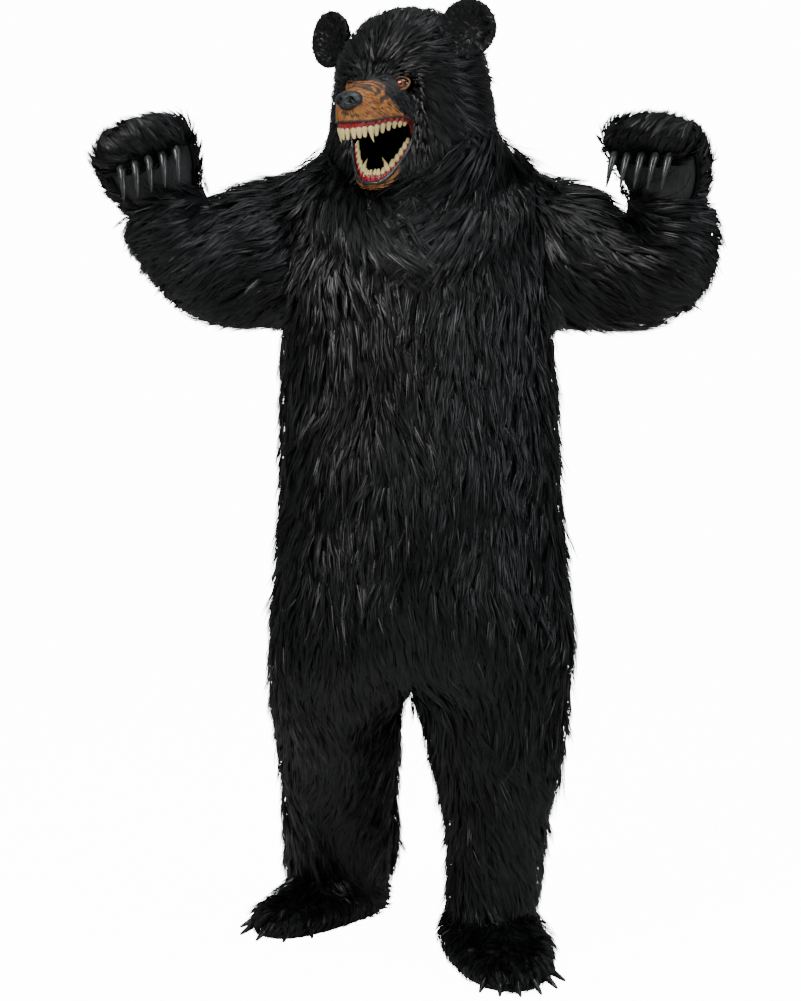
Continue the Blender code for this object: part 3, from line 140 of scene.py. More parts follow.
# A gum's heights from the lip: at its own side | at the teeth's side
GUM_HEIGHTS = {"upper": (8 * MM, -9 * MM), "lower": (-4 * MM, 9 * MM)}
GUM_RISE = {"upper": 4 * MM, "lower": 7 * MM}  # more in front, falling off as e^-(distance / reach)^2
GUM_RISE_REACH = 42 * MM
GUM_MIDDLE = 8 * MM  # inwards from the lip
EAR_PLACE = (0.157, 0.040, 0.112)
EYE_PLACE = (0.056, 0.005)
EYE_SIZES = (0.0150, 0.0090, 0.0105)
EYE_TURN = 18
LID_TILT = math.radians(16)
LID_SIZES = (0.0168, 0.0118)  # half the almond's width and height
BARE_ROUND_EYE = (0.020, 0.0145)  # half the width and height of the part without fur
NOSE_PLACE = (0.0, 0.219, -0.033)
NOSE_SIZES = (0.0290, 0.0200, 0.0190)
CLAW_SWELL = {"mitt": 0.8 * MM, "boot": 2.2 * MM}  # against the shrinking of their subdivision
SUBDIVISIONS = 2
WELT_RADIUS = 1.1 * MM

# The stage: a wall bent up from the floor, that only the camera sees as bright white.
WALL_AWAY = 6.0
WALL_BEND = 1.2
WALL_TOP = 12.0
STAGE_FRONT = -30.0
STAGE_HALF_WIDTH = 25.0
WALL_GLOW = 0.10
WALL_GLOW_SEEN = 14.0
WORLD_STRENGTH = 0.22
# Soft lights: name | place | the point aimed at | diameter | watts | colour
LIGHTS = (
    ("key", (-2.6, -3.4, 2.6), (0.0, 0.0, -0.4), 1.8, 230, (1.0, 0.99, 0.97)),
    ("fill", (3.2, -2.6, 1.2), (0.0, 0.0, -0.5), 2.4, 100, (0.92, 0.96, 1.0)),
    ("top", (0.3, -0.6, 3.4), (0.0, 0.0, 0.0), 2.0, 70, (0.95, 0.98, 1.0)),
)


def unit(rows):
    """Each row scaled to length 1."""
    return rows / np.maximum(np.linalg.norm(rows, axis=-1, keepdims=True), 1e-12)


def from_mask(points):
    """Points of the mask's frame in the costume's: turned about Z and moved to the head's centre."""
    x, f, z = np.moveaxis(np.asarray(points, float), -1, 0)
    cos, sin = math.cos(math.radians(HEAD_TURN)), math.sin(math.radians(HEAD_TURN))
    return np.stack((cos * x - sin * f, -sin * x - cos * f, z), axis=-1) + HEAD_CENTRE


def to_mask(points):
    """Points of the costume's frame in the mask's."""
    dx, dy, z = np.moveaxis(np.asarray(points, float) - HEAD_CENTRE, -1, 0)
    cos, sin = math.cos(math.radians(HEAD_TURN)), math.sin(math.radians(HEAD_TURN))
    return np.stack((cos * dx - sin * dy, -sin * dx - cos * dy, z), axis=-1)


class Maths:
    """A shader socket that the usual operators work on, each adding a Math node."""

    def __init__(self, tree, socket):
        self.tree = tree
        self.socket = socket

    def node(self, operation, *values, clamp=False):
        made = self.tree.nodes.new("ShaderNodeMath")
        made.operation = operation
        made.use_clamp = clamp
        for slot, value in zip(made.inputs, values):
            plug(self.tree, slot, value)
        return Maths(self.tree, made.outputs[0])

    def __add__(self, other):
        return self.node("ADD", self, other)

    __radd__ = __add__

    def __sub__(self, other):
        return self.node("SUBTRACT", self, other)

    def __rsub__(self, other):
        return self.node("SUBTRACT", other, self)

    def __mul__(self, other):
        return self.node("MULTIPLY", self, other)

    __rmul__ = __mul__

    def step(self, low, high):
        """0 below low and 1 above high, with a straight ramp between."""
        return self.node("MULTIPLY_ADD", self, 1 / (high - low), -low / (high - low), clamp=True)


def plug(tree, slot, value):
    """Links a socket, or sets a number or colour."""
    if isinstance(value, Maths):
        tree.links.new(value.socket, slot)
    elif isinstance(value, bpy.types.NodeSocket):
        tree.links.new(value, slot)
    elif value is not None:
        slot.default_value = value


class Finish:
    """A material under construction."""

    def __init__(self, name, colour, roughness):
        self.material = bpy.data.materials.new(name)
        self.material.use_nodes = True
        self.tree = self.material.node_tree
        self.surface = self.tree.nodes["Principled BSDF"]
        self.set("Base Color", (*colour, 1.0))
        self.set("Roughness", roughness)
        self.material.diffuse_color = (*colour, 1.0)

    def set(self, name, value):
        plug(self.tree, self.surface.inputs[name], value)

    def add(self, kind, settings=(), **values):
        """A node of a kind, with its settings made first, then its sockets' values or links."""
        made = self.tree.nodes.new(kind)
        for name, value in dict(settings).items():
            setattr(made, name, value)
        for name, value in values.items():
            plug(self.tree, made.inputs[name.replace("_", " ")], value)
        return made

    def place(self, stretch=(1, 1, 1)):
        """Object coordinates, stretched."""
        where = self.add("ShaderNodeTexCoord").outputs["Object"]
        return self.add("ShaderNodeMapping", Vector=where, Scale=stretch).outputs[0]

    def noise(self, scale, detail=3.0, rough=0.55, vector=None, distortion=0.0):
        vector = self.place() if vector is None else vector
        made = self.add(
            "ShaderNodeTexNoise",
            Vector=vector, Scale=scale, Detail=detail, Roughness=rough, Distortion=distortion,
        )
        return Maths(self.tree, made.outputs["Fac"])

    def attribute(self, name):
        """A number that the piece has at each point."""
        return Maths(self.tree, self.add("ShaderNodeAttribute", {"attribute_name": name}).outputs["Fac"])

    def flow(self, along, across):
        """The piece's own places along and across the surface, in metres, stretched."""
        where = self.add("ShaderNodeAttribute", {"attribute_name": "flow"}).outputs["Vector"]
        return self.add("ShaderNodeMapping", Vector=where, Scale=(along, across, 1)).outputs[0]

    def mix(self, share, one, two):
        """One colour towards another."""
        made = self.tree.nodes.new("ShaderNodeMix")
        made.data_type = "RGBA"
        plug(self.tree, made.inputs["Factor"], share)
        for slot, value in zip((made.inputs[6], made.inputs[7]), (one, two)):
            if isinstance(value, tuple) and len(value) == 3:
                value = (*value, 1.0)
            plug(self.tree, slot, value)
        return made.outputs[2]

    def wear(self, colour, roughness, height=None, distance=0.0, strength=1.0):
        """Sets the colour and roughness, and the bump of a height."""
        self.set("Base Color", colour)
        self.set("Roughness", roughness)
        if height is not None:
            made = self.add("ShaderNodeBump", Height=height, Distance=distance, Strength=strength)
            self.set("Normal", made.outputs[0])
        return self.material


def fur_finish():
    """Black pile: nearly black to a cool dark grey as a blade's attribute says, which holds random tone and
    painted shade at the roots and in the valleys between locks.
    """
    made = Finish("black_pile", (0.004, 0.005, 0.005), 0.42)
    tone_and_shade = made.attribute("tone_and_shade")
    made.set("Specular IOR Level", 0.26)
    # The attribute's low values are partly random tone and partly painted shade, at the roots and in the
    # valleys between locks.
    colour = made.mix(tone_and_shade, (0.0006, 0.0007, 0.0008), (0.0075, 0.0090, 0.0092))
    return made.wear(colour, 0.34 + 0.16 * tone_and_shade)


def undercoat_finish():
    """The dense short pile at the backing: black, with fine upright grain."""
    made = Finish("black_undercoat", (0.005, 0.005, 0.006), 0.75)
    grain = made.noise(420, 2.0, vector=made.place((1, 1, 0.15)))
    patch = made.noise(22, 2.0)
    made.set("Specular IOR Level", 0.2)
    colour = made.mix(grain * patch, (0.0015, 0.0015, 0.002), (0.008, 0.009, 0.010))
    return made.wear(colour, 0.65 + 0.25 * grain, grain, 0.002)


def latex_finish():
    """Tan latex with dark strokes painted along its flow, more of them in recesses as painted shade, and
    black past the tan part's ragged edge.
    """
    made = Finish("painted_latex", (0.46, 0.17, 0.030), 0.45)
    tan, recess_shade = made.attribute("tan"), made.attribute("recess_shade")
    broad = made.noise(1.0, 2.0, 0.5, made.flow(85, 420), 0.4)
    fine = made.noise(1.0, 2.5, 0.6, made.flow(150, 1100), 0.3)
    patch = made.noise(75, 3.0)
    # The recess attribute lowers the strokes' and scratches' threshold: painted shade in folds and creases.
    stroke = (broad + 0.42 * recess_shade + 0.06 * patch).step(0.545, 0.62)
    scratch = (fine + 0.25 * recess_shade).step(0.60, 0.70)
    colour = made.mix(patch.step(0.35, 0.65), (0.19, 0.055, 0.004), (0.42, 0.155, 0.014))
    colour = made.mix(0.65 * scratch, colour, (0.035, 0.011, 0.003))
    colour = made.mix(0.92 * stroke, colour, (0.014, 0.008, 0.006))
    edge = (tan + 0.020 * (broad - 0.5) + 0.006 * (fine - 0.5)).step(0.0, 0.0016)
    colour = made.mix(edge, (0.0012, 0.0012, 0.0015), colour)
    return made.wear(colour, 0.40 + 0.18 * patch, 0.5 * broad + 0.5 * fine, 0.0022, 0.8)


def nose_finish():
    """Charcoal-blue latex with a pebbled, slightly wet face, and black painted shade in the nostrils and the
    groove.
    """
    made = Finish("nose_latex", (0.020, 0.025, 0.031), 0.30)
    pebbles = made.add("ShaderNodeTexVoronoi", {"feature": "SMOOTH_F1"}, Vector=made.place(), Scale=520.0)
    pebble = Maths(made.tree, pebbles.outputs["Distance"])
    hollow = made.attribute("recess_shade")
    patch = made.noise(90, 3.0)
    colour = made.mix(patch.step(0.35, 0.65), (0.005, 0.006, 0.008), (0.020, 0.025, 0.030))
    # Black in the nostrils and the groove: painted shade.
    colour = made.mix(hollow, colour, (0.001, 0.001, 0.001))
    return made.wear(colour, 0.26 + 0.25 * patch, pebble, 0.0009, 0.7)


def gum_finish():
    """Wet red gum with purple veins, dark red where its lumps dip as painted shade."""
    made = Finish("gum_latex", (0.34, 0.010, 0.015), 0.30)
    lump = made.noise(230, 3.0)
    vein = made.noise(60, 4.0, 0.6)
    # Dark red where the lumps dip: painted shade in their hollows.
    colour = made.mix(lump.step(0.38, 0.60), (0.07, 0.002, 0.005), (0.38, 0.010, 0.016))
    colour = made.mix(vein.step(0.55, 0.75), colour, (0.10, 0.005, 0.018))
    made.set("Coat Weight", 0.25)
    return made.wear(colour, 0.22 + 0.2 * lump, lump, 0.0012, 0.8)


def tooth_finish():
    """Cream tooth plastic, stained brown towards the gum, with faint lengthwise lines."""
    made = Finish("tooth_plastic", (0.74, 0.66, 0.42), 0.28)
    root = made.attribute("root")
    line = made.noise(1.0, 3.0, 0.6, made.flow(60, 1400))
    patch = made.noise(140, 2.0)
    colour = made.mix(patch, (0.50, 0.38, 0.13), (0.78, 0.66, 0.33))
    stain = (root + 0.5 * (patch - 0.5)).step(0.45, 1.05)
    colour = made.mix(0.75 * stain, colour, (0.22, 0.135, 0.045))
    colour = made.mix(0.35 * line.step(0.55, 0.75), colour, (0.33, 0.24, 0.11))
    return made.wear(colour, 0.24 + 0.12 * patch, line, 0.0004, 0.6)


def rim_finish():
    """The lower lip's glossy dark rim, with grey-blue streaks along it as painted highlights."""
    made = Finish("lip_latex", (0.030, 0.040, 0.046), 0.25)
    patch = made.noise(1.0, 3.0, 0.6, made.flow(90, 500))
    # The light grey-blue streaks are painted highlights.
    colour = made.mix(patch.step(0.40, 0.75), (0.003, 0.004, 0.005), (0.045, 0.062, 0.070))
    return made.wear(colour, 0.20 + 0.2 * patch, patch, 0.0008, 0.8)


def eye_finish():
    """Clear-coated eye: black pupil, orange-red iris with darker rays, and a brown-black edge."""
    made = Finish("eye_plastic", (0.45, 0.10, 0.012), 0.12)
    ring = made.attribute("ring")
    rays = made.noise(1.0, 3.0, 0.6, made.flow(300, 9))
    iris = made.mix(rays.step(0.3, 0.7), (0.10, 0.010, 0.002), (0.32, 0.060, 0.005))
    iris = made.mix(ring.step(5.4, 7.2), iris, (0.075, 0.022, 0.005))
    iris = made.mix(ring.step(7.4, 9.0), iris, (0.004, 0.003, 0.003))
    made.set("Coat Weight", 0.25)
    return made.wear(made.mix(ring.step(2.9, 3.5), (0.001, 0.001, 0.001), iris), 0.22)


def claw_finish(name, dark, light):
    """Glossy moulded claw with lengthwise streaks and scuffed patches."""
    made = Finish(name, dark, 0.25)
    streak = made.noise(1.0, 3.0, 0.6, made.place((260, 260, 22)))
    patch = made.noise(60, 2.0)
    colour = made.mix((0.6 * streak + 0.4 * patch).step(0.38, 0.70), dark, light)
    return made.wear(colour, 0.18 + 0.22 * streak, streak, 0.0006, 0.6)


def palm_finish():
    """Smooth black stretch fabric: a fine knit, lint and a dull sheen."""
    made = Finish("palm_cloth", (0.012, 0.012, 0.013), 0.6)
    knit = made.noise(1500, 2.0)
    lint = made.noise(160, 4.0, 0.7)
    crease = made.noise(38, 2.0, 0.5, made.place((1, 1, 0.35)), 0.6)
    colour = made.mix(lint.step(0.45, 0.75), (0.0022, 0.0026, 0.0026), (0.0085, 0.0095, 0.0098))
    return made.wear(colour, 0.46 + 0.25 * knit, 0.25 * knit + 1.4 * crease, 0.0030, 0.8)


def sole_finish():
    """Black sole rubber with dusty scuffed patches and a pebbled tread."""
    made = Finish("sole_rubber", (0.012, 0.012, 0.012), 0.6)
    dust = made.noise(30, 4.0, 0.65)
    pebble = made.noise(420, 2.0)
    colour = made.mix(dust.step(0.45, 0.75), (0.006, 0.006, 0.006), (0.035, 0.034, 0.033))
    return made.wear(colour, 0.50 + 0.35 * dust, pebble, 0.0010, 0.6)


def tape_finish():
    """Woven black zip tape: fine ribs and lint."""
    made = Finish("zip_tape", (0.010, 0.010, 0.011), 0.7)
    weave = made.add("ShaderNodeTexWave", {"bands_direction": "Z"}, Vector=made.place(), Scale=330.0)
    rib = Maths(made.tree, weave.outputs["Fac"])
    lint = made.noise(120, 3.0)
    colour = made.mix(rib * lint, (0.004, 0.004, 0.005), (0.026, 0.027, 0.029))
    return made.wear(colour, 0.60 + 0.25 * lint, rib, 0.0006, 0.7)


def new_object(name, points, faces, material, values=None, weld=False, smooth=True):
    """A mesh object from arrays of points and of triangles or quads, riding on the body.

    values are attributes by name, a number or a vector for each point. weld merges doubled points.
    """
    mesh = bpy.data.meshes.new(name)
    faces = [np.asarray(f) for f in (faces if isinstance(faces, list) else [faces])]
    sizes = np.concatenate([np.full(len(f), f.shape[1]) for f in faces])
    corners = np.concatenate([f.ravel() for f in faces]).astype(np.int32)
    mesh.vertices.add(len(points))
    mesh.vertices.foreach_set("co", np.asarray(points, np.float32).ravel())
    mesh.loops.add(len(corners))
    mesh.loops.foreach_set("vertex_index", corners)
    mesh.polygons.add(len(sizes))
    starts = np.concatenate(((0,), np.cumsum(sizes)[:-1])).astype(np.int32)
    mesh.polygons.foreach_set("loop_start", starts)
    mesh.polygons.foreach_set("use_smooth", np.full(len(sizes), smooth))
    mesh.update(calc_edges=True)
    mesh.validate()
    for label, rows in (values or {}).items():
        flat = np.asarray(rows, np.float32)
        kind, field = ("FLOAT", "value") if flat.ndim == 1 else ("FLOAT_VECTOR", "vector")
        mesh.attributes.new(label, kind, "POINT").data.foreach_set(field, flat.ravel())
    if weld:
        shape = bmesh.new()
        shape.from_mesh(mesh)
        bmesh.ops.remove_doubles(shape, verts=shape.verts, dist=1e-5)
        shape.to_mesh(mesh)
        shape.free()
    mesh.materials.append(material)
    made = bpy.data.objects.new(name, mesh)
    bpy.context.scene.collection.objects.link(made)
    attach(made, "root")
    return made


def welded(node):
    """A node's points without doubles, and its triangles."""
    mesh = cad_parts[node].data
    points = np.zeros(len(mesh.vertices) * 3)
    mesh.vertices.foreach_get("co", points)
    mesh.calc_loop_triangles()
    corners = np.zeros(len(mesh.loop_triangles) * 3, np.int32)
    mesh.loop_triangles.foreach_get("vertices", corners)
    points = points.reshape(-1, 3)
    cells = np.round(points / 2e-5).astype(np.int64)
    _, first, where = np.unique(cells, axis=0, return_index=True, return_inverse=True)
    triangles = where.ravel()[corners].reshape(-1, 3)
    whole = (triangles != np.roll(triangles, 1, axis=1)).all(axis=1)
    return points[first], triangles[whole]


def crosses(points, triangles):
    """Each triangle's normal, as long as twice its area."""
    a, b, c = points[triangles].transpose(1, 0, 2)
    return np.cross(b - a, c - a)


def outer_face(points, triangles):
    """The triangles of a wall's outer face, its larger smooth side, and those of its narrow edges.

    Triangles belong to one side while the angle between neighbours stays below about 57 degrees.
    """
    across = crosses(points, triangles)
    area = np.linalg.norm(across, axis=1) / 2
    normal = unit(across)
    beside = {}
    for number, face in enumerate(triangles):
        for i in range(3):
            pair = (min(face[i], face[i - 1]), max(face[i], face[i - 1]))
            beside.setdefault(pair, []).append(number)
    near = [[] for _ in triangles]
    for pair in beside.values():
        if len(pair) == 2 and normal[pair[0]] @ normal[pair[1]] > 0.55:
            near[pair[0]].append(pair[1])
            near[pair[1]].append(pair[0])
    group = np.full(len(triangles), -1)
    count = 0
    for start in range(len(triangles)):
        if group[start] < 0:
            waiting = [start]
            group[start] = count
            while waiting:
                for other in near[waiting.pop()]:
                    if group[other] < 0:
                        group[other] = count
                        waiting.append(other)
            count += 1
    sizes = np.bincount(group, weights=area)
    outer, inner = np.argsort(sizes)[:-3:-1]
    return group == outer, (group != outer) & (group != inner)


def facing_away(points, triangles):
    """The latex wall's triangles that face away from the head's middle."""
    own = to_mask(points)  # mirrored, so the normals point inwards
    away = own[triangles].mean(axis=1) - (0.0, 0.0, -0.06)
    return np.sum(crosses(own, triangles) * away, axis=1) < 0


def point_normals(points, triangles):
    """The outward direction at each point that a triangle has."""
    across = crosses(points, triangles)
    total = np.zeros_like(points)
    for i in range(3):
        np.add.at(total, triangles[:, i], across)
    return unit(total)


def scattered(points, triangles, normals, density):
    """Random places on triangles, evenly by area, with the outward direction at each."""
    area = np.linalg.norm(crosses(points, triangles), axis=1) / 2
    count = max(3, int(area.sum() * density))
    chosen = triangles[RNG.choice(len(triangles), count, p=area / area.sum())]
    u, v = RNG.random((2, count))
    over = u + v > 1
    u[over], v[over] = 1 - u[over], 1 - v[over]
    share = np.stack((1 - u - v, u, v), axis=1)[:, :, None]
    return (points[chosen] * share).sum(axis=1), unit((normals[chosen] * share).sum(axis=1))


def wander(points, scale, seed):
    """A smooth value from -1 to 1 that changes over about one scale: a sum of five sine waves."""
    waves = np.random.default_rng(seed)
    total = np.zeros(len(points))
    for _ in range(5):
        wave = unit(waves.normal(size=3)) * waves.uniform(0.7, 1.6) * TURN / scale
        total += np.sin(points @ wave + waves.uniform(0, TURN))
    return total / 2.6


def grid_quads(rows, columns, closed=False, ring=False):
    """Quads of a grid whose points are in rows.

    closed joins the last column to the first, and ring the last row to the first.
    """
    numbers = np.arange(rows * columns).reshape(rows, columns)
    if closed:
        numbers = np.hstack((numbers, numbers[:, :1]))
    if ring:
        numbers = np.vstack((numbers, numbers[:1]))
    corners = (numbers[:-1, :-1], numbers[:-1, 1:], numbers[1:, 1:], numbers[1:, :-1])
    return np.stack(corners, axis=-1).reshape(-1, 4)


def grid_normals(grid):
    """The direction square to a grid of points: the cross product of its two slopes."""
    return unit(np.cross(np.gradient(grid, axis=0), np.gradient(grid, axis=1)))


def turned_out(points, quads):
    """Quads of a closed form, turned round if they enclose less than nothing: the sum of a . (b x c)."""
    a, b, c, d = points[quads].transpose(1, 0, 2)
    volume = np.sum(a * np.cross(b, c)) + np.sum(a * np.cross(c, d))
    return quads if volume > 0 else quads[:, ::-1]


def running_sum(steps):
    """The sum of the steps before each one, from 0, and of them all."""
    return np.concatenate(((0.0,), np.cumsum(steps)))


def path_lengths(path):
    """How far along a path each of its points is."""
    return running_sum(np.linalg.norm(np.diff(path, axis=0), axis=1))


def path_places(distances, lengths, path):
    """Points at distances along a path whose own points have these lengths."""
    return np.stack([np.interp(distances, lengths, path[:, i]) for i in range(3)], axis=-1)


def tube_grid(path, radii, sides=10, up=(0.0, 0.0, 1.0)):
    """A grid of circles about a path's points, square to it."""
    along = unit(np.gradient(path, axis=0))
    across = unit(np.cross(along, up))
    over = np.cross(across, along)
    angle = 2 * math.pi * np.arange(sides) / sides
    ring = across[:, None] * np.cos(angle)[:, None] + over[:, None] * np.sin(angle)[:, None]
    return path[:, None] + np.asarray(radii)[:, None, None] * ring


def add_tube(name, path, radii, material, values=None, **how):
    """A closed tube in the mask's frame, whose first and last circles shrink to points."""
    radii = np.array(radii, float)
    radii[[0, -1]] = 0.0
    grid = tube_grid(path, radii, **how)
    rows, sides = grid.shape[:2]
    flow = np.zeros((rows, sides, 3))
    flow[..., 0] = path_lengths(path)[:, None]
    flow[..., 1] = np.abs(np.arange(sides) - sides / 2) * 0.002
    given = {"flow": flow.reshape(-1, 3), **(values(rows, sides) if values else {})}
    points = from_mask(grid.reshape(-1, 3))
    quads = turned_out(points, grid_quads(rows, sides, closed=True))
    return new_object(name, points, quads, material, given, weld=True)


def between_rows(table, where):
    """A table's rows at whole and part places: a smooth cubic through each four rows."""
    rows = np.asarray(table, float)
    wide = np.vstack((2 * rows[0] - rows[1], rows, 2 * rows[-1] - rows[-2]))
    start = np.clip(np.floor(where).astype(int), 0, len(rows) - 2)
    t = (where - start)[..., None]
    a, b, c, d = (wide[start + i] for i in range(4))
    square, cube = 2 * a - 5 * b + 4 * c - d, 3 * b - a - 3 * c + d
    return 0.5 * (2 * b + (c - a) * t + square * t**2 + cube * t**3)


def face_surface(jaw, where, angle):
    """Points of the muzzle or lower jaw in the mask's frame.

    where runs over the sections, then from the last one to the middle of the front. x goes as -cos^0.8 of
    the angle from the right lip, f rises from the lip to the middle as sin^2, and z as a power of sin.
    """
    table, power = FACE_TABLES[jaw]
    last = len(table) - 1
    section = between_rows(table, np.minimum(where, last))
    lip_x, lip_f, lip_z, middle_f, middle_z = np.moveaxis(section, -1, 0)
    over = np.clip(where - last, 0, 1) * math.pi / 2
    rise = np.abs(np.sin(angle))
    x = -lip_x * np.sign(np.cos(angle)) * np.abs(np.cos(angle)) ** 0.8 * np.cos(over)
    f = lip_f + (middle_f - lip_f) * rise**2 + FRONT_BULGE * np.sin(over)
    return np.stack((x, f, lip_z + (middle_z - lip_z) * rise**power), axis=-1)


def tan_margin(jaw, where, angle):
    """How far inside the tan part a place of the muzzle or jaw is, in metres."""
    from_lip = np.degrees(np.minimum(angle, math.pi - angle))
    degrees, places = np.array(TAN_EDGES[jaw]).T
    return (where - np.interp(from_lip, degrees, places)) * SECTION_STEP


def bell(value, middle, width):
    """1 in the middle, falling off to both sides: e to minus the squared distance over width."""
    return np.exp(-(((value - middle) / width) ** 2))


def walled(outer, inner, rim):
    """Points and quads of a wall between two grids in the mask's frame, with its edge along rim's points."""
    rows, columns = outer.shape[:2]
    count = rows * columns
    front = grid_quads(rows, columns)
    edge = np.stack((rim[1:], rim[:-1], rim[:-1] + count, rim[1:] + count), axis=1)
    points = from_mask(np.concatenate((outer.reshape(-1, 3), inner.reshape(-1, 3))))
    return points, turned_out(points, np.concatenate((front, front[:, ::-1] + count, edge)))


def add_face_skin(jaw, node, material):
    """The latex of the muzzle or jaw: a wrinkled wall, joined in front and open at the hood and lip."""
    where = np.concatenate((np.linspace(0, 5, 71), 5 + np.linspace(0, 1, 12)[1:]))
    even = np.linspace(0, math.pi, 115)
    closer_at_lips = 0.45 * math.pi * (1 - np.cos(even)) / 2 + 0.55 * even
    where, angle = np.meshgrid(where, closer_at_lips, indexing="ij")
    grid = face_surface(jaw, where, angle)
    outwards = grid_normals(grid)
    if outwards[35, 57, 2] * (1 if jaw == "upper" else -1) < 0:
        outwards = -outwards
    outwards[-1, :, 0] = 0.0
    outwards = unit(outwards)
    side = np.degrees(np.minimum(angle, math.pi - angle))
    flat = grid.reshape(-1, 3)
    unrest = wander(flat, 0.050, 21).reshape(where.shape)
    small = wander(flat, 0.016, 22).reshape(where.shape)
    if jaw == "upper":
        ridges = np.sin(11.0 * where + 2.2 * unrest) * bell(where, 2.0, 1.0) * bell(side, 90, 42)
        folds = np.sin(0.20 * side + 2.6 * where + 1.6 * unrest)
        folds = folds * bell(where, 2.9, 1.1) * bell(side, 42, 26)
        pads = bell(where, 4.3, 0.8) * bell(side, 38, 22) * 0.0030
        lift = 0.0012 * ridges + 0.0011 * folds + pads + 0.0004 * small
        lift -= 0.0022 * bell(where, 3.1, 0.28) * bell(side, 66, 16)
    else:
        folds = np.sin(0.26 * side + 1.8 * where + 1.8 * unrest) * bell(side, 45, 40)
        lift = 0.0010 * folds + 0.0005 * small
    grid = grid + outwards * lift[..., None]
    inner = grid - outwards * LATEX_DEPTH
    grid[-1, :, 0] = 0.0
    inner[-1, :, 0] = 0.0
    rows, columns = where.shape
    order = np.arange(rows * columns).reshape(rows, columns)
    rim = np.concatenate((order[::-1, 0], order[0, 1:], order[1:, -1]))
    points, quads = walled(grid, inner, rim)
    # The wall's inner face gets the black past the tan edge: painted shade inside the mask.
    inner_painted_shade = np.full(rows * columns, -0.1)
    # Where the wall is sunk, in its folds and crease, the latex gets painted shade.
    recess_shade = np.clip(-lift / 0.0012, 0, 1).ravel()
    steps = np.cumsum(np.linalg.norm(np.diff(grid, axis=1), axis=2), axis=1)
    arc = np.concatenate((np.zeros((rows, 1)), steps), axis=1)
    arc = np.minimum(arc, arc[:, -1:] - arc)
    along = where * SECTION_STEP
    lean = -np.radians(STROKE_LEAN + STROKE_LEAN_IN_FRONT * np.clip((where - 4.7) / 1.0, 0, 1))
    cos, sin = np.cos(lean), np.sin(lean)
    flow = np.stack((along * cos - arc * sin, along * sin + arc * cos, 0 * arc), axis=-1)
    values = {
        "tan": np.concatenate((tan_margin(jaw, where, angle).ravel(), inner_painted_shade)),
        "recess_shade": np.concatenate((recess_shade, 0 * recess_shade)),
        "flow": np.tile(flow.reshape(-1, 3), (2, 1)),
    }
    made = new_object(f"{jaw}_latex", points, quads, material, values, weld=True)
    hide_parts(node)


def lip_path(jaw, step=0.001):
    """The lip's line from the right corner round the front to the left, at even steps."""
    where = np.linspace(0, FRONT_PLACE, 400)
    right = face_surface(jaw, where, 0 * where)
    path = np.vstack((right, (right * (-1, 1, 1))[-2::-1]))
    lengths = path_lengths(path)
    lengths -= lengths[-1] / 2
    reach = step * int(lengths[-1] / step)
    places = np.arange(-reach, reach + step / 2, step)
    return places, path_places(places, lengths, path)


def along_lip(jaw, distances):
    """Points of the lip at distances from its middle, the way along it and the way into the mouth."""
    places, path = lip_path(jaw)
    here, ahead, behind = (path_places(distances + d, places, path) for d in (0, 0.005, -0.005))
    along = unit((ahead - behind) * (1, 1, 0))
    inside = np.stack((along[..., 1], -along[..., 0], 0 * along[..., 0]), axis=-1)
    mouth_middle = np.array((0.0, 0.09, 0.0))
    turn = np.sign(np.sum(inside * (mouth_middle - here), axis=-1, keepdims=True))
    return here, along, inside * turn


def add_gum(jaw, material):
    """A gum: a lumpy roll inside the lip, scalloped between the teeth and swollen over their roots."""
    marks = running_sum(np.array([width for _, width in TEETH[jaw]]) * MM)
    distances = np.linspace(-1.02 * marks[-1], 1.02 * marks[-1], 340)
    place, _, inside = along_lip(jaw, distances)
    phase = np.interp(np.abs(distances), marks, np.arange(len(marks)))
    root = np.cos(2 * math.pi * phase)
    base, end = GUM_HEIGHTS[jaw]
    sign = np.sign(end - base)
    end = (end + sign * GUM_RISE[jaw] * bell(distances, 0, GUM_RISE_REACH))[:, None]
    angle = 2 * math.pi * np.arange(18) / 18
    towards = np.clip(np.cos(angle) * sign, 0, 1)
    height = (base + end) / 2 + sign * (end - base) / 2 * np.cos(angle) * 1.10
    scallop = sign * 0.0022 * root[:, None] * towards**2
    swell = 0.0048 + 0.0008 * root[:, None] - 0.0006 * np.clip(-np.sin(angle), 0, 1)
    ends = np.clip((marks[-1] * 1.02 - np.abs(distances)) / 0.004, 0, 1)[:, None] ** 0.5
    middle = GUM_MIDDLE + swell * np.sin(angle) * ends
    grid = place[:, None] + inside[:, None] * middle[..., None]
    grid[..., 2] += (base + end) / 2 + (height - (base + end) / 2) * ends + scallop * ends
    rows, sides = grid.shape[:2]
    points = from_mask(grid.reshape(-1, 3))
    quads = turned_out(points, grid_quads(rows, sides, closed=True))
    made = new_object(f"{jaw}_gum_roll", points, quads, material, weld=True)
    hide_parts(f"{jaw}_gum")


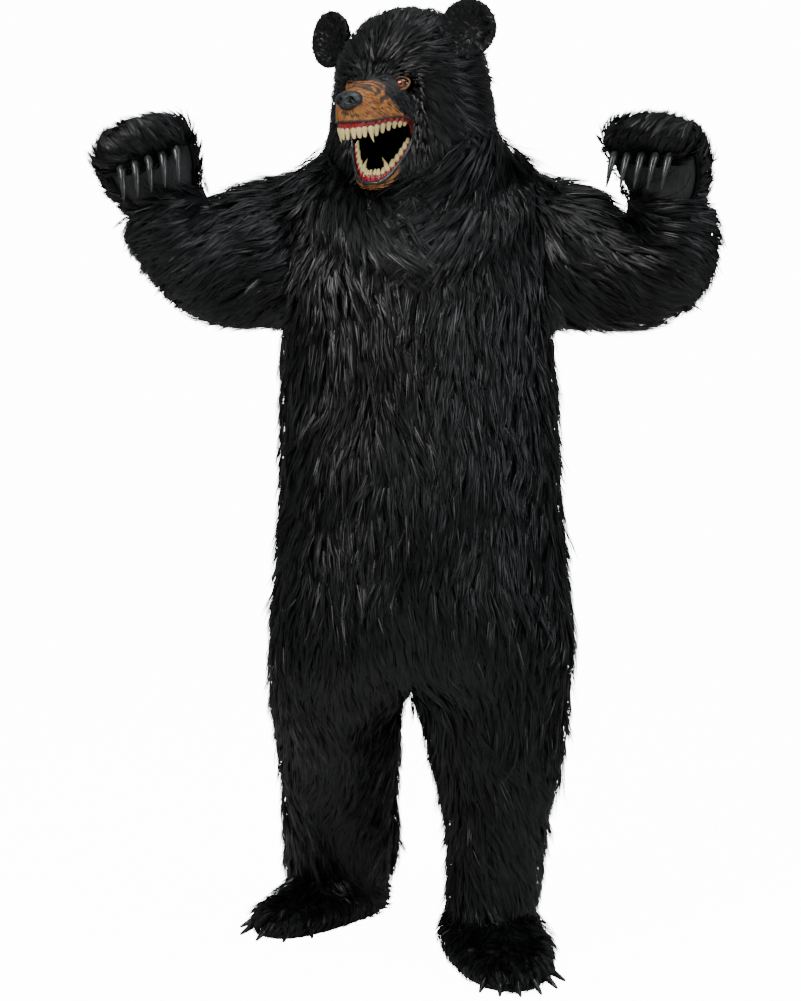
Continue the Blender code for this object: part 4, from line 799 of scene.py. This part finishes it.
def add_teeth(jaw, material):
    """Separate teeth set in the gum, each a row of ovals from the root to its tip, pointed on a canine.

    An oval's size goes as (1 - s^sharp)^blunt along the tooth, and canines curve back as s^2.
    """
    table = np.array(TEETH[jaw], float) * MM
    marks = running_sum(table[:, 1])
    middles = (marks[1:] + marks[:-1]) / 2
    lengths = np.concatenate((table[::-1, 0], table[:, 0]))
    widths = np.concatenate((table[::-1, 1], table[:, 1]))
    distances = np.concatenate((-middles[::-1], middles))
    canine = lengths > CANINE_LENGTH
    place, along, inside = along_lip(jaw, distances)
    sign = np.sign(GUM_HEIGHTS[jaw][1] - GUM_HEIGHTS[jaw][0])
    s = np.linspace(0, 1, 14) ** 0.8
    sides = 14
    angle = 2 * math.pi * np.arange(sides) / sides
    sharp = np.where(canine, 1.5, 4.2)[:, None]
    blunt = np.where(canine, 0.80, 0.40)[:, None]
    size = (1 - s**sharp) ** blunt * (0.80 + 0.20 * np.sin(math.pi * np.minimum(s * 1.6, 1)))
    size[:, 0] = 0.0
    vary = np.random.default_rng(31).normal(0, 1, (4, len(widths)))
    half = widths * np.where(canine, 0.50, 0.445 + 0.015 * vary[0])
    thick = np.where(canine, 0.0062, 0.0040)
    reach = (lengths + TOOTH_ROOT) * (1 + 0.05 * vary[1])
    root = place + GUM_MIDDLE * inside
    rise = GUM_RISE[jaw] * bell(distances, 0, GUM_RISE_REACH)
    root[:, 2] += GUM_HEIGHTS[jaw][1] + sign * (rise - TOOTH_ROOT)
    grid = root[:, None, None] + np.zeros((len(widths), len(s), sides, 3))
    grid[..., 2] += sign * (reach[:, None] * s)[..., None]
    grid += along[:, None, None] * ((half[:, None] * size)[..., None] * np.cos(angle))[..., None]
    grid += inside[:, None, None] * ((thick[:, None] * size)[..., None] * np.sin(angle))[..., None]
    back = np.sign(distances)[:, None] * along
    bend = np.where(canine, 0.0085 if jaw == "upper" else -0.0120, 0.0012)[:, None] * s**2
    grid += (back[:, None] * bend[..., None])[:, :, None]
    inwards = np.where(canine, 0.0035, 0.0022)[:, None] * s**1.5 + 0.0006 * vary[2][:, None] * s
    grid += (inside[:, None] * inwards[..., None])[:, :, None]
    count = len(s) * sides
    quads = grid_quads(len(s), sides, closed=True)
    points = from_mask(grid.reshape(-1, 3))
    one = turned_out(points[:count], quads)
    faces = np.concatenate([one + count * i for i in range(len(widths))])
    down = np.broadcast_to(s[None, :, None], grid.shape[:3])
    across = np.broadcast_to(angle * 0.004, grid.shape[:3]) + distances[:, None, None]
    flow = np.stack((down * 0.02, across, 0 * down), axis=-1)
    stained = np.clip(1 - down * reach[:, None, None] / (TOOTH_ROOT + 0.006), 0, 1)
    values = {"root": stained.ravel(), "flow": flow.reshape(-1, 3)}
    made = new_object(f"{jaw}_tooth_row", points, faces, material, values, weld=True)
    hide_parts(f"{jaw}_teeth")


def add_lips(latex, rim, gum):
    """The tan roll under the muzzle's edge, the jaw's glossy rim and the red web in the mouth's corners."""
    _, upper = lip_path("upper", 0.0015)
    _, lower = lip_path("lower", 0.0015)
    share = np.sin(math.pi * np.linspace(0, 1, len(upper)))
    radii = 0.0017 + 0.0008 * share + 0.0003 * wander(upper, 0.02, 41)

    def painted(rows, sides):
        edge = np.repeat(0.0030 - 0.0045 * (share < 0.12), sides)
        # The roll under the muzzle's edge gets some painted shade.
        return {"tan": edge, "recess_shade": np.full(rows * sides, 0.35)}

    add_tube("upper_lip", upper + (0, -0.0012, 0.0002), radii, latex, painted)
    share = np.sin(math.pi * np.linspace(0, 1, len(lower)))
    radii = 0.0024 + 0.0012 * share + 0.0004 * wander(lower, 0.03, 42)
    add_tube("lower_lip", lower + (0, 0.0004, -0.0006), radii, rim)
    for side, sign in (("left", 1), ("right", -1)):
        where, across = np.meshgrid(np.linspace(0, 0.75, 16), np.linspace(0, 1, 14), indexing="ij")
        top = face_surface("upper", where, 0 * where)
        low = face_surface("lower", where, 0 * where)
        sheet = top * (1 - across[..., None]) + low * across[..., None]
        sheet[..., 0] += 0.0035 + 0.004 * np.sin(math.pi * across)
        sheet[..., 1] -= 0.014 * np.sin(math.pi * across) * where
        sheet = sheet * (-sign, 1, 1)
        thick = sheet - (0.0022 * sign, 0.0, 0.0)
        order = np.arange(where.size).reshape(where.shape)
        rim = np.concatenate((order[0], order[1:, -1], order[-1, -2::-1], order[-2::-1, 0]))
        new_object(f"mouth_corner_{side}", *walled(sheet, thick, rim), gum)


def add_nose(material):
    """The nose: a rounded form, narrow below, with two comma-shaped nostrils, raised wings and a groove."""
    around = 2 * math.pi * np.arange(112) / 112
    over = np.linspace(-math.pi / 2, math.pi / 2, 68)
    angle, rise = np.meshgrid(around, over, indexing="xy")
    wide, deep, tall = NOSE_SIZES
    level = np.cos(rise)
    x = wide * np.sign(np.sin(angle)) * np.abs(np.sin(angle)) ** 0.85 * np.abs(level) ** 0.8
    f = deep * np.sign(np.cos(angle)) * np.abs(np.cos(angle)) ** 0.9 * np.abs(level) ** 0.9
    z = tall * np.sign(np.sin(rise)) * np.abs(np.sin(rise)) ** 0.9
    x = x * (1 - 0.42 * np.clip(-z / tall, 0, 1) ** 1.3)
    f = f - 0.004 * np.clip(z / tall, 0, 1) ** 2
    ahead = np.clip(f / deep, 0, 1)
    own, drop = np.abs(x) - 0.0125, z - 0.0005
    pit = bell(own, 0, 0.0070) * bell(drop, 0, 0.0058)
    tail = bell(own, 0.0072, 0.0062) * bell(drop + 0.25 * own, -0.0045, 0.0026)
    rim = bell(np.hypot(own / 1.25, drop), 0.0078, 0.0022)
    groove = bell(x, 0, 0.0017) * np.clip(0.5 - z / tall, 0, 1)
    hollow = np.clip(pit + 0.8 * tail, 0, 1) * ahead
    f = f - 0.0115 * hollow + 0.0016 * rim * ahead * (1 - hollow) - 0.0022 * groove * ahead
    grid = np.stack((x, f, z), axis=-1) + NOSE_PLACE
    points = from_mask(grid.reshape(-1, 3))
    quads = turned_out(points, grid_quads(*angle.shape, closed=True))
    # The nostrils' and the groove's hollows get painted shade.
    values = {"recess_shade": np.clip(1.5 * hollow + 0.5 * groove * ahead, 0, 1).ravel()}
    made = new_object("nose_leather", points, quads, material, values, weld=True)
    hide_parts("nose")


def eye_axes(side):
    """An eye's middle and its own directions outwards on the face, ahead and up, in the mask's frame."""
    sign = 1 if side == "left" else -1
    low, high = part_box(f"eye_{side}")
    middle = to_mask((np.array(low[:]) + np.array(high[:])) / 2)
    turn = math.radians(EYE_TURN)
    out = np.array((sign * math.cos(turn), -math.sin(turn), 0.0))
    ahead = np.array((sign * math.sin(turn), math.cos(turn), 0.0))
    return middle, out, ahead, np.array((0.0, 0.0, 1.0))


def add_eye(side, eye, latex):
    """The eyeball, in rings about the way it looks, and the almond-shaped lids round it."""
    middle, out, ahead, up = eye_axes(side)
    wide, deep, tall = EYE_SIZES
    spins = 2 * math.pi * np.arange(40) / 40
    spin, back = np.meshgrid(spins, np.linspace(0, math.pi, 30), indexing="xy")
    parts = (wide * np.sin(back) * np.cos(spin), deep * np.cos(back), tall * np.sin(back) * np.sin(spin))
    grid = middle + sum(part[..., None] * way for part, way in zip(parts, (out, ahead, up)))
    ring = np.hypot(parts[0], parts[2]) / MM + 12 * (back > math.pi / 2)
    flow = np.stack((spin * 0.012, ring * MM, 0 * spin), axis=-1)
    points = from_mask(grid.reshape(-1, 3))
    quads = turned_out(points, grid_quads(*spin.shape, closed=True))
    values = {"ring": ring.ravel(), "flow": flow.reshape(-1, 3)}
    made = new_object(f"eyeball_{side}", points, quads, eye, values, weld=True)
    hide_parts(f"eye_{side}")
    turn = np.linspace(0, 2 * math.pi, 73)
    cos, sin = math.cos(LID_TILT), math.sin(LID_TILT)
    flat = LID_SIZES[0] * np.cos(turn)
    high = LID_SIZES[1] * np.sign(np.sin(turn)) * np.abs(np.sin(turn)) ** 1.2
    right, over = flat * cos - high * sin, flat * sin + high * cos
    path = middle + right[:, None] * out + over[:, None] * up
    path = path + ahead * (0.0052 - 0.0035 * (flat / LID_SIZES[0]) ** 2)[:, None]
    low = np.clip(-np.sin(turn), 0, 1)
    radii = 0.0019 + 0.0013 * low
    grid = tube_grid(path, radii, up=ahead)[:-1]
    points = from_mask(grid.reshape(-1, 3))
    rows, sides = grid.shape[:2]
    quads = grid_quads(rows, sides, closed=True, ring=True)
    paint = np.repeat(0.004 - 0.003 * np.clip(np.sin(turn[:-1]), 0, 1), sides)
    flow = np.zeros((rows * sides, 3))
    flow[:, 0] = np.repeat(turn[:-1] * 0.014, sides)
    flow[:, 1] = np.tile(np.arange(sides) * 0.0012, rows)
    # The lids get a little painted shade.
    values = {"tan": paint, "recess_shade": np.full(len(points), 0.1), "flow": flow}
    new_object(f"eyelids_{side}", points, turned_out(points, quads), latex, values)


def smooth_copy(node, name, material, swell=0.0):
    """A node's form, swollen against shrinking and rounded by subdivision."""
    points, triangles = welded(node)
    made = new_object(name, points + swell * point_normals(points, triangles), triangles, material)
    rounding = made.modifiers.new("rounding", "SUBSURF")
    rounding.levels = SUBDIVISIONS
    rounding.render_levels = SUBDIVISIONS
    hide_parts(node)
    return made


def dress_the_face():
    """The latex face with all that is set in it."""
    latex, gum, tooth = latex_finish(), gum_finish(), tooth_finish()
    add_face_skin("upper", "upper_face", latex)
    add_face_skin("lower", "lower_jaw", latex)
    for jaw in FACE_TABLES:
        add_gum(jaw, gum)
        add_teeth(jaw, tooth)
    add_lips(latex, rim_finish(), gum)
    add_nose(nose_finish())
    eye = eye_finish()
    for side in ("left", "right"):
        add_eye(side, eye, latex)


def dress_hands_and_feet():
    """Claws, palms, soles and the zip tape."""
    claws = {
        "mitt": claw_finish("mitt_claw_plastic", (0.004, 0.005, 0.005), (0.038, 0.042, 0.042)),
        "boot": claw_finish("boot_claw_plastic", (0.002, 0.002, 0.003), (0.012, 0.013, 0.014)),
    }
    palm, sole, tape = palm_finish(), sole_finish(), tape_finish()
    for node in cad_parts:
        if "claw" in node:
            kind = node.split("_")[0]
            smooth_copy(node, f"smooth_{node}", claws[kind], CLAW_SWELL[kind])
        elif node.endswith("sole"):
            smooth_sole(node, sole)
    for side in ("left", "right"):
        add_palm(side, palm)
    zip_tape = new_object("zip_tape", *welded("back_zip"), tape)
    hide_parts("back_zip")


def smooth_sole(node, material):
    """A sole with its edges rounded."""
    points, triangles = welded(node)
    made = new_object(f"tread_{node}", points, triangles, material, smooth=False)
    rounding = made.modifiers.new("edge", "BEVEL")
    rounding.width = 1.5 * MM
    rounding.segments = 2
    rounding.limit_method = "ANGLE"
    rounding.angle_limit = math.radians(50)
    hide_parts(node)


def add_palm(side, material):
    """A mitt's palm: its solid's form, rounded, with two curved seams sewn as narrow welts."""
    node = f"mitt_{side}_palm"
    made = smooth_copy(node, f"palm_{side}", material)
    points, triangles = welded(node)
    surface = BVHTree.FromPolygons(points.tolist(), triangles.tolist())
    low, high = points.min(axis=0), points.max(axis=0)
    wide, _, tall = high - low
    for number, seam in enumerate(PALM_SEAMS):
        shares = between_rows(seam, np.linspace(0, len(seam) - 1, 40))
        across = shares[:, 0] if side == "left" else 1 - shares[:, 0]
        path = []
        for u, v in zip(across, shares[:, 1]):
            ahead = Vector((low[0] + u * wide, low[1] - 0.1, high[2] - v * tall))
            hit = surface.ray_cast(ahead, Vector((0.0, 1.0, 0.0)))[0]
            if hit is not None:
                path.append(hit[:])
        radii = np.full(len(path), WELT_RADIUS)
        welt = add_tube(f"palm_welt_{side}_{number}", to_mask(np.array(path)), radii, material, sides=6)


FUR_NODES = (
    "suit_front_left", "suit_front_right", "suit_back_left", "suit_back_right", "suit_leg_front_left",
    "suit_leg_front_right", "suit_leg_back_left", "suit_leg_back_right", "sleeve_left", "sleeve_right",
    "hood_left", "hood_right", "bib_front", "bib_back", "mitt_left_back", "mitt_right_back",
    "boot_left_upper", "boot_right_upper", "ear_left", "ear_right", "upper_face", "lower_jaw",
)


def flow_at(node, points):
    """The way the pile lies at each place, before it is laid on the surface, and its length factor."""
    x, y, z = points.T
    down = np.tile((0.0, 0.0, -1.0), (len(points), 1))
    length = np.ones(len(points))
    side = np.sign(x)
    if node.startswith("suit"):
        spread = 0.22 * side * np.clip((z + 0.35) / 0.35, 0, 1)
        return down + spread[:, None] * np.array((1.0, 0, 0)), length
    if node.startswith("sleeve"):
        out = np.stack((side, 0 * x - 0.1, 0 * x), axis=1)
        wrist = wrist_share(points)[:, None]
        return down * (0.75 - 0.85 * wrist) + out * (0.75 + 0.25 * wrist), length
    if node.startswith(("hood", "ear", "upper", "lower")):
        own = to_mask(points)
        away = own - np.array((0.0, 0.21, -0.02))
        away[:, 1] *= 1.2
        away[:, 2] = np.where(own[:, 2] > 0.02, 0.75 * away[:, 2], away[:, 2] - 0.06)
        if node.startswith("ear"):
            ear = np.tile(EAR_PLACE, (len(own), 1))
            ear[:, 0] *= np.sign(own[:, 0])
            away = unit(own - ear) + (0, 0, 0.4)
        elif node.startswith(("upper", "lower")):
            margin = -face_margin(own)
            length = 0.45 + 0.55 * np.clip(margin / 0.030, 0, 1)
            length = length * np.clip(eye_margin(own) / 0.9, 0.35, 1)
        else:
            length = length * np.where(own[:, 1] > 0.05, 0.80, 1.0)
        way = from_mask(away) - from_mask(np.zeros((1, 3)))
        return unit(way), length
    if node.startswith("bib"):
        out = unit(np.stack((x, y, 0 * x), axis=1))
        swirl = np.stack((-out[:, 1], out[:, 0], 0 * x), axis=1)
        swirl = 0.75 * swirl * side[:, None] * np.clip(-y / 0.15, -1, 1)[:, None]
        return down * 0.8 + out * 0.55 - swirl, length * 1.15
    if node.startswith("mitt"):
        out = np.stack((side, 0 * x - 0.2, 0 * x), axis=1)
        top = np.clip((z - 0.04) / 0.08, 0, 1)[:, None]
        low_way = out * 0.9 - down * 0.1
        high_way = out * 0.55 + np.array((0, -0.35, 0.75))
        return (1 - top) * low_way + top * high_way, length * 0.85
    middle = np.array((0.165, -0.02)) if x.mean() > 0 else np.array((-0.20, 0.29))
    out = unit(np.stack((x - middle[0], y - middle[1], 0 * x), axis=1))
    return out * 0.9 + down * 0.55, length * 0.75


def wrist_share(points):
    """0 on a sleeve's upper arm and 1 at its raised wrist."""
    above = np.clip((points[:, 2] + 0.16) / 0.20, 0, 1)
    return above * np.clip((np.abs(points[:, 0]) - 0.34) / 0.10, 0, 1)


def stand_share(node, points):
    """How much of its kind's standing-off each place has: a sleeve's grows towards the wrist."""
    if node.startswith("sleeve"):
        return 0.5 + 1.3 * wrist_share(points)
    return np.ones(len(points))


def eye_margin(own):
    """How far places of the mask's frame are from the nearer eye.

    It is 0 on the outline of the bare part round the eye, and 1 at twice that part's size.
    """
    x, z = np.abs(own[:, 0]) - EYE_PLACE[0], own[:, 2] - EYE_PLACE[1]
    cos, sin = math.cos(LID_TILT), math.sin(LID_TILT)
    wide, tall = BARE_ROUND_EYE
    return np.hypot((x * cos + z * sin) / wide, (z * cos - x * sin) / tall) - 1


def point_tree(points):
    """A tree that finds the nearest of many points."""
    tree = KDTree(len(points))
    for number, place in enumerate(points):
        tree.insert(Vector(place), number)
    tree.balance()
    return tree


def face_margin(own):
    """How far inside the tan part places of the mask's frame are, by the nearest place of the latex.

    A place further than FACE_REACH from all latex is outside by its distance.
    """
    sections, angles = np.linspace(0, FRONT_PLACE, 60), np.linspace(0, math.pi, 70)
    where, angle = np.meshgrid(sections, angles, indexing="ij")
    away, margins = [], []
    for jaw in FACE_TABLES:
        tree = point_tree(face_surface(jaw, where, angle).reshape(-1, 3))
        hits = [tree.find(Vector(p)) for p in own]
        away.append([distance for _, _, distance in hits])
        margins.append(tan_margin(jaw, where, angle).ravel()[[number for _, number, _ in hits]])
    away, margins = np.array(away), np.array(margins)
    nearer = np.argmin(away, axis=0)[None]
    away = np.take_along_axis(away, nearer, axis=0)[0]
    margin = np.take_along_axis(margins, nearer, axis=0)[0]
    return np.where(away > FACE_REACH, -away, margin)


def without_bare(node, roots, normals):
    """The roots that fur grows on: not the tan latex, the lids, or the outer face next to the lips."""
    if not node.startswith(("upper", "lower")):
        return roots, normals
    own = to_mask(roots)
    keep = (face_margin(own) < -0.001) & (eye_margin(own) > 0.0)
    return roots[keep], normals[keep]


def nearest(tree, points):
    """For each point the nearest place on a surface and its outward direction."""
    found = [tree.find_nearest(Vector(p)) for p in points]
    return np.array([f[0][:] for f in found]), np.array([f[1][:] for f in found])


def grow(node, roots, normals, clumps, clump_normals, envelope, kind):
    """Blades for one panel: points, faces and each point's tone with painted shade, with five points to a
    blade.

    Each clump has a guide that starts at its root, runs along the pile's direction and rises to the solid's
    outer face. A blade starts at its own root, follows the guide, and closes in on it towards the tip.
    """
    depth, _, _, long, width, unruly, stand = kind
    way, factor = flow_at(node, clumps)
    standing = stand_share(node, clumps)
    way = unit(way - np.sum(way * clump_normals, axis=1, keepdims=True) * clump_normals)
    turn = 0.30 * wander(clumps, 0.30, 3) + 0.24 * wander(clumps, 0.10, 5)
    turn = turn + RNG.normal(0, 0.12, len(clumps))
    cross = np.cross(clump_normals, way)
    way = way * np.cos(turn)[:, None] + cross * np.sin(turn)[:, None]
    length = PILE_LENGTH * long * factor * RNG.uniform(0.75, 1.25, len(clumps))
    length = length * (1 + 0.15 * wander(clumps, 0.15, 8))
    loft = length / PILE_LENGTH
    rough = RNG.normal(0.0, 0.0026, len(clumps)) + 0.0045 * np.abs(wander(clumps, 0.05, 9))
    rise = depth + loft * min(unruly, 1.0) * rough
    guide = []
    for share, height in zip(GUIDE_SHARES, GUIDE_HEIGHTS):
        ahead = clumps + way * (length * share)[:, None]
        place, outward = nearest(envelope, ahead)
        above = np.sum((ahead - place) * outward, axis=1)
        wanted = rise * height - depth + stand * standing * length * share
        ahead = ahead + outward * np.clip(wanted - above, -0.03, 0.03)[:, None]
        guide.append(ahead)
    tree = point_tree(clumps)
    own = np.array([tree.find(Vector(root))[1] for root in roots])
    offset = roots - clumps[own]
    reach = np.linalg.norm(offset, axis=1)
    size = max(1e-3, np.percentile(reach, 90))
    stretch = RNG.uniform(0.72, 1.12, len(roots))
    loose = RNG.random(len(roots)) < LOOSE_SHARE
    flying = (RNG.random(len(clumps)) < FLYING_SHARE * unruly)[own]
    gather = np.where(loose, 0.10, RNG.uniform(0.30, 0.75, len(roots)))
    flight = RNG.uniform(0.003, 0.013, len(clumps))[own] * (0.5 + RNG.random(len(roots)))
    flight = np.where(flying, flight, 0.0) * loft[own]
    stray_size = np.where(loose, 0.0045, 0.0016) * np.maximum(loft[own], 0.35)
    stray = RNG.normal(0, 1.0, (len(roots), 3)) * stray_size[:, None]
    stray = stray + normals * flight[:, None]
    lines = []
    start = clumps[own]
    for share, place in zip(GUIDE_SHARES, guide):
        along = start + (place[own] - start) * stretch[:, None]
        closed = offset * (1 - gather * share**0.9)[:, None]
        round_lock = 0.0026 * loft[own] * (1 - np.minimum(reach / size, 1) ** 2) * share
        lines.append(along + closed + stray * share**1.5 + normals * round_lock[:, None])
    along = unit(lines[-1] - lines[0])
    facing = normals - np.sum(normals * along, axis=1, keepdims=True) * along
    facing = unit(facing + 0.50 * offset / size + RNG.normal(0, 0.18, (len(roots), 3)))
    across = unit(np.cross(along, facing))
    half = width / 2 * RNG.uniform(0.7, 1.35, len(roots))
    rows = []
    for line, part in zip(lines, STATION_WIDTHS):
        rows.append(line - across * (half * part)[:, None])
        rows.append(line + across * (half * part)[:, None])
    rows.append(lines[-1])
    points = np.stack(rows, axis=1)
    points[..., 2] = np.maximum(points[..., 2], FLOOR_Z + 0.001)
    base = np.arange(len(roots))[:, None] * len(rows)
    quads = base + (0, 1, 3, 2)
    tips = base + (2, 3, 4)
    # Tone that wanders at random over about 0.4 m, and painted shade in the valleys between locks about
    # every 0.07 m.
    tone_and_shade = 0.42 + 0.22 * wander(clumps, 0.4, 12) + 0.20 * wander(clumps, 0.07, 14)
    tone_and_shade = tone_and_shade + RNG.normal(0, 0.14, len(clumps))
    tone_and_shade = np.clip(tone_and_shade[own] + RNG.normal(0, 0.18, len(roots)), 0, 1)
    # Blades darken towards their roots: painted shade in the pile.
    shade = tone_and_shade[:, None] * np.array(POINT_SHADES_ROOT_TO_TIP)
    return points.reshape(-1, 3), [quads, tips], shade.ravel()


def dress_in_fur():
    """Every furry panel: an undercoat shell in place of its solid, and blades, whose triangles it counts."""
    pile, undercoat = fur_finish(), undercoat_finish()
    skins = {}
    for node in FUR_NODES:
        points, triangles = welded(node)
        grown = outer = np.ones(len(triangles), bool)
        if node.startswith(("upper", "lower")):
            grown = outer = facing_away(points, triangles)
        elif not node.startswith("ear"):
            outer, edges = outer_face(points, triangles)
            grown = outer | edges if node.startswith(("mitt", "sleeve")) else outer
        skins[node] = (points, triangles, outer, grown)
    corners, faces, start = [], [], 0
    for points, triangles, outer, _ in skins.values():
        corners.append(points)
        faces.append(triangles[outer] + start)
        start += len(points)
    envelope = BVHTree.FromPolygons(np.vstack(corners).tolist(), np.vstack(faces).tolist())
    total = 0
    for node, (points, triangles, outer, grown) in skins.items():
        kind = FUR_KINDS[node.split("_")[0]]
        moved = points.copy()
        used = np.unique(triangles[outer])
        moved[used] -= kind[0] * point_normals(points, triangles[outer])[used]
        normals = point_normals(points, triangles[grown])
        strands = STRAND_DENSITY * kind[1]
        if node.startswith(("suit_back", "suit_leg_back")):
            strands *= BACK_SHARE
        roots = without_bare(node, *scattered(moved, triangles[grown], normals, strands))
        clumps = without_bare(node, *scattered(moved, triangles[grown], normals, CLUMP_DENSITY * kind[2]))
        blade_points, blade_faces, tone_and_shade = grow(node, *roots, *clumps, envelope, kind)
        fur = new_object(f"fur_{node}", blade_points, blade_faces, pile, {"tone_and_shade": tone_and_shade})
        total += 3 * len(roots[0])
        if node.startswith(("upper", "lower")):
            continue
        shell = new_object(f"undercoat_{node}", moved, triangles, undercoat)
        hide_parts(node)
    return total


def set_stage():
    """The camera at the photograph's place, a pale floor and wall, and large soft lights."""
    camera = bpy.data.cameras.new("camera")
    camera.lens = CAMERA_LENS
    camera.sensor_width = 36.0
    seat = bpy.data.objects.new("camera", camera)
    seat.location = CAMERA_PLACE
    seat.rotation_euler = (math.radians(90 - CAMERA_TILT), 0.0, 0.0)
    bpy.context.scene.collection.objects.link(seat)
    bpy.context.scene.camera = seat
    wall = Finish("white_studio", (0.70, 0.70, 0.70), 0.9)
    seen = Maths(wall.tree, wall.add("ShaderNodeLightPath", {}).outputs["Is Camera Ray"])
    wall.set("Emission Color", (1.0, 1.0, 1.0, 1.0))
    wall.set("Emission Strength", WALL_GLOW + WALL_GLOW_SEEN * seen)
    profile = [(STAGE_FRONT, FLOOR_Z)]
    for angle in np.linspace(0, math.pi / 2, 9):
        rise = WALL_BEND * (1 - math.cos(angle))
        profile.append((WALL_AWAY + WALL_BEND * math.sin(angle), FLOOR_Z + rise))
    profile.append((WALL_AWAY + WALL_BEND, WALL_TOP))
    rows = np.array([[(x, y, z) for y, z in profile] for x in (-STAGE_HALF_WIDTH, STAGE_HALF_WIDTH)])
    count = len(profile)
    quads = np.array([(i, i + count, i + count + 1, i + 1) for i in range(count - 1)])
    floor = new_object("studio_floor", rows.reshape(-1, 3), quads, wall.material)
    world = bpy.data.worlds.new("soft_room")
    world.use_nodes = True
    sky = world.node_tree.nodes["Background"].inputs
    sky["Color"].default_value = (0.95, 0.97, 1.0, 1.0)
    sky["Strength"].default_value = WORLD_STRENGTH
    bpy.context.scene.world = world
    for name, place, aim, size, power, colour in LIGHTS:
        lamp = bpy.data.lights.new(name, "AREA")
        lamp.shape = "DISK"
        lamp.size = size
        lamp.energy = power
        lamp.color = colour
        held = bpy.data.objects.new(name, lamp)
        held.location = place
        held.rotation_euler = (Vector(aim) - Vector(place)).to_track_quat("-Z", "Y").to_euler()
        bpy.context.scene.collection.objects.link(held)


set_stage()
blades = dress_in_fur()
dress_the_face()
dress_hands_and_feet()
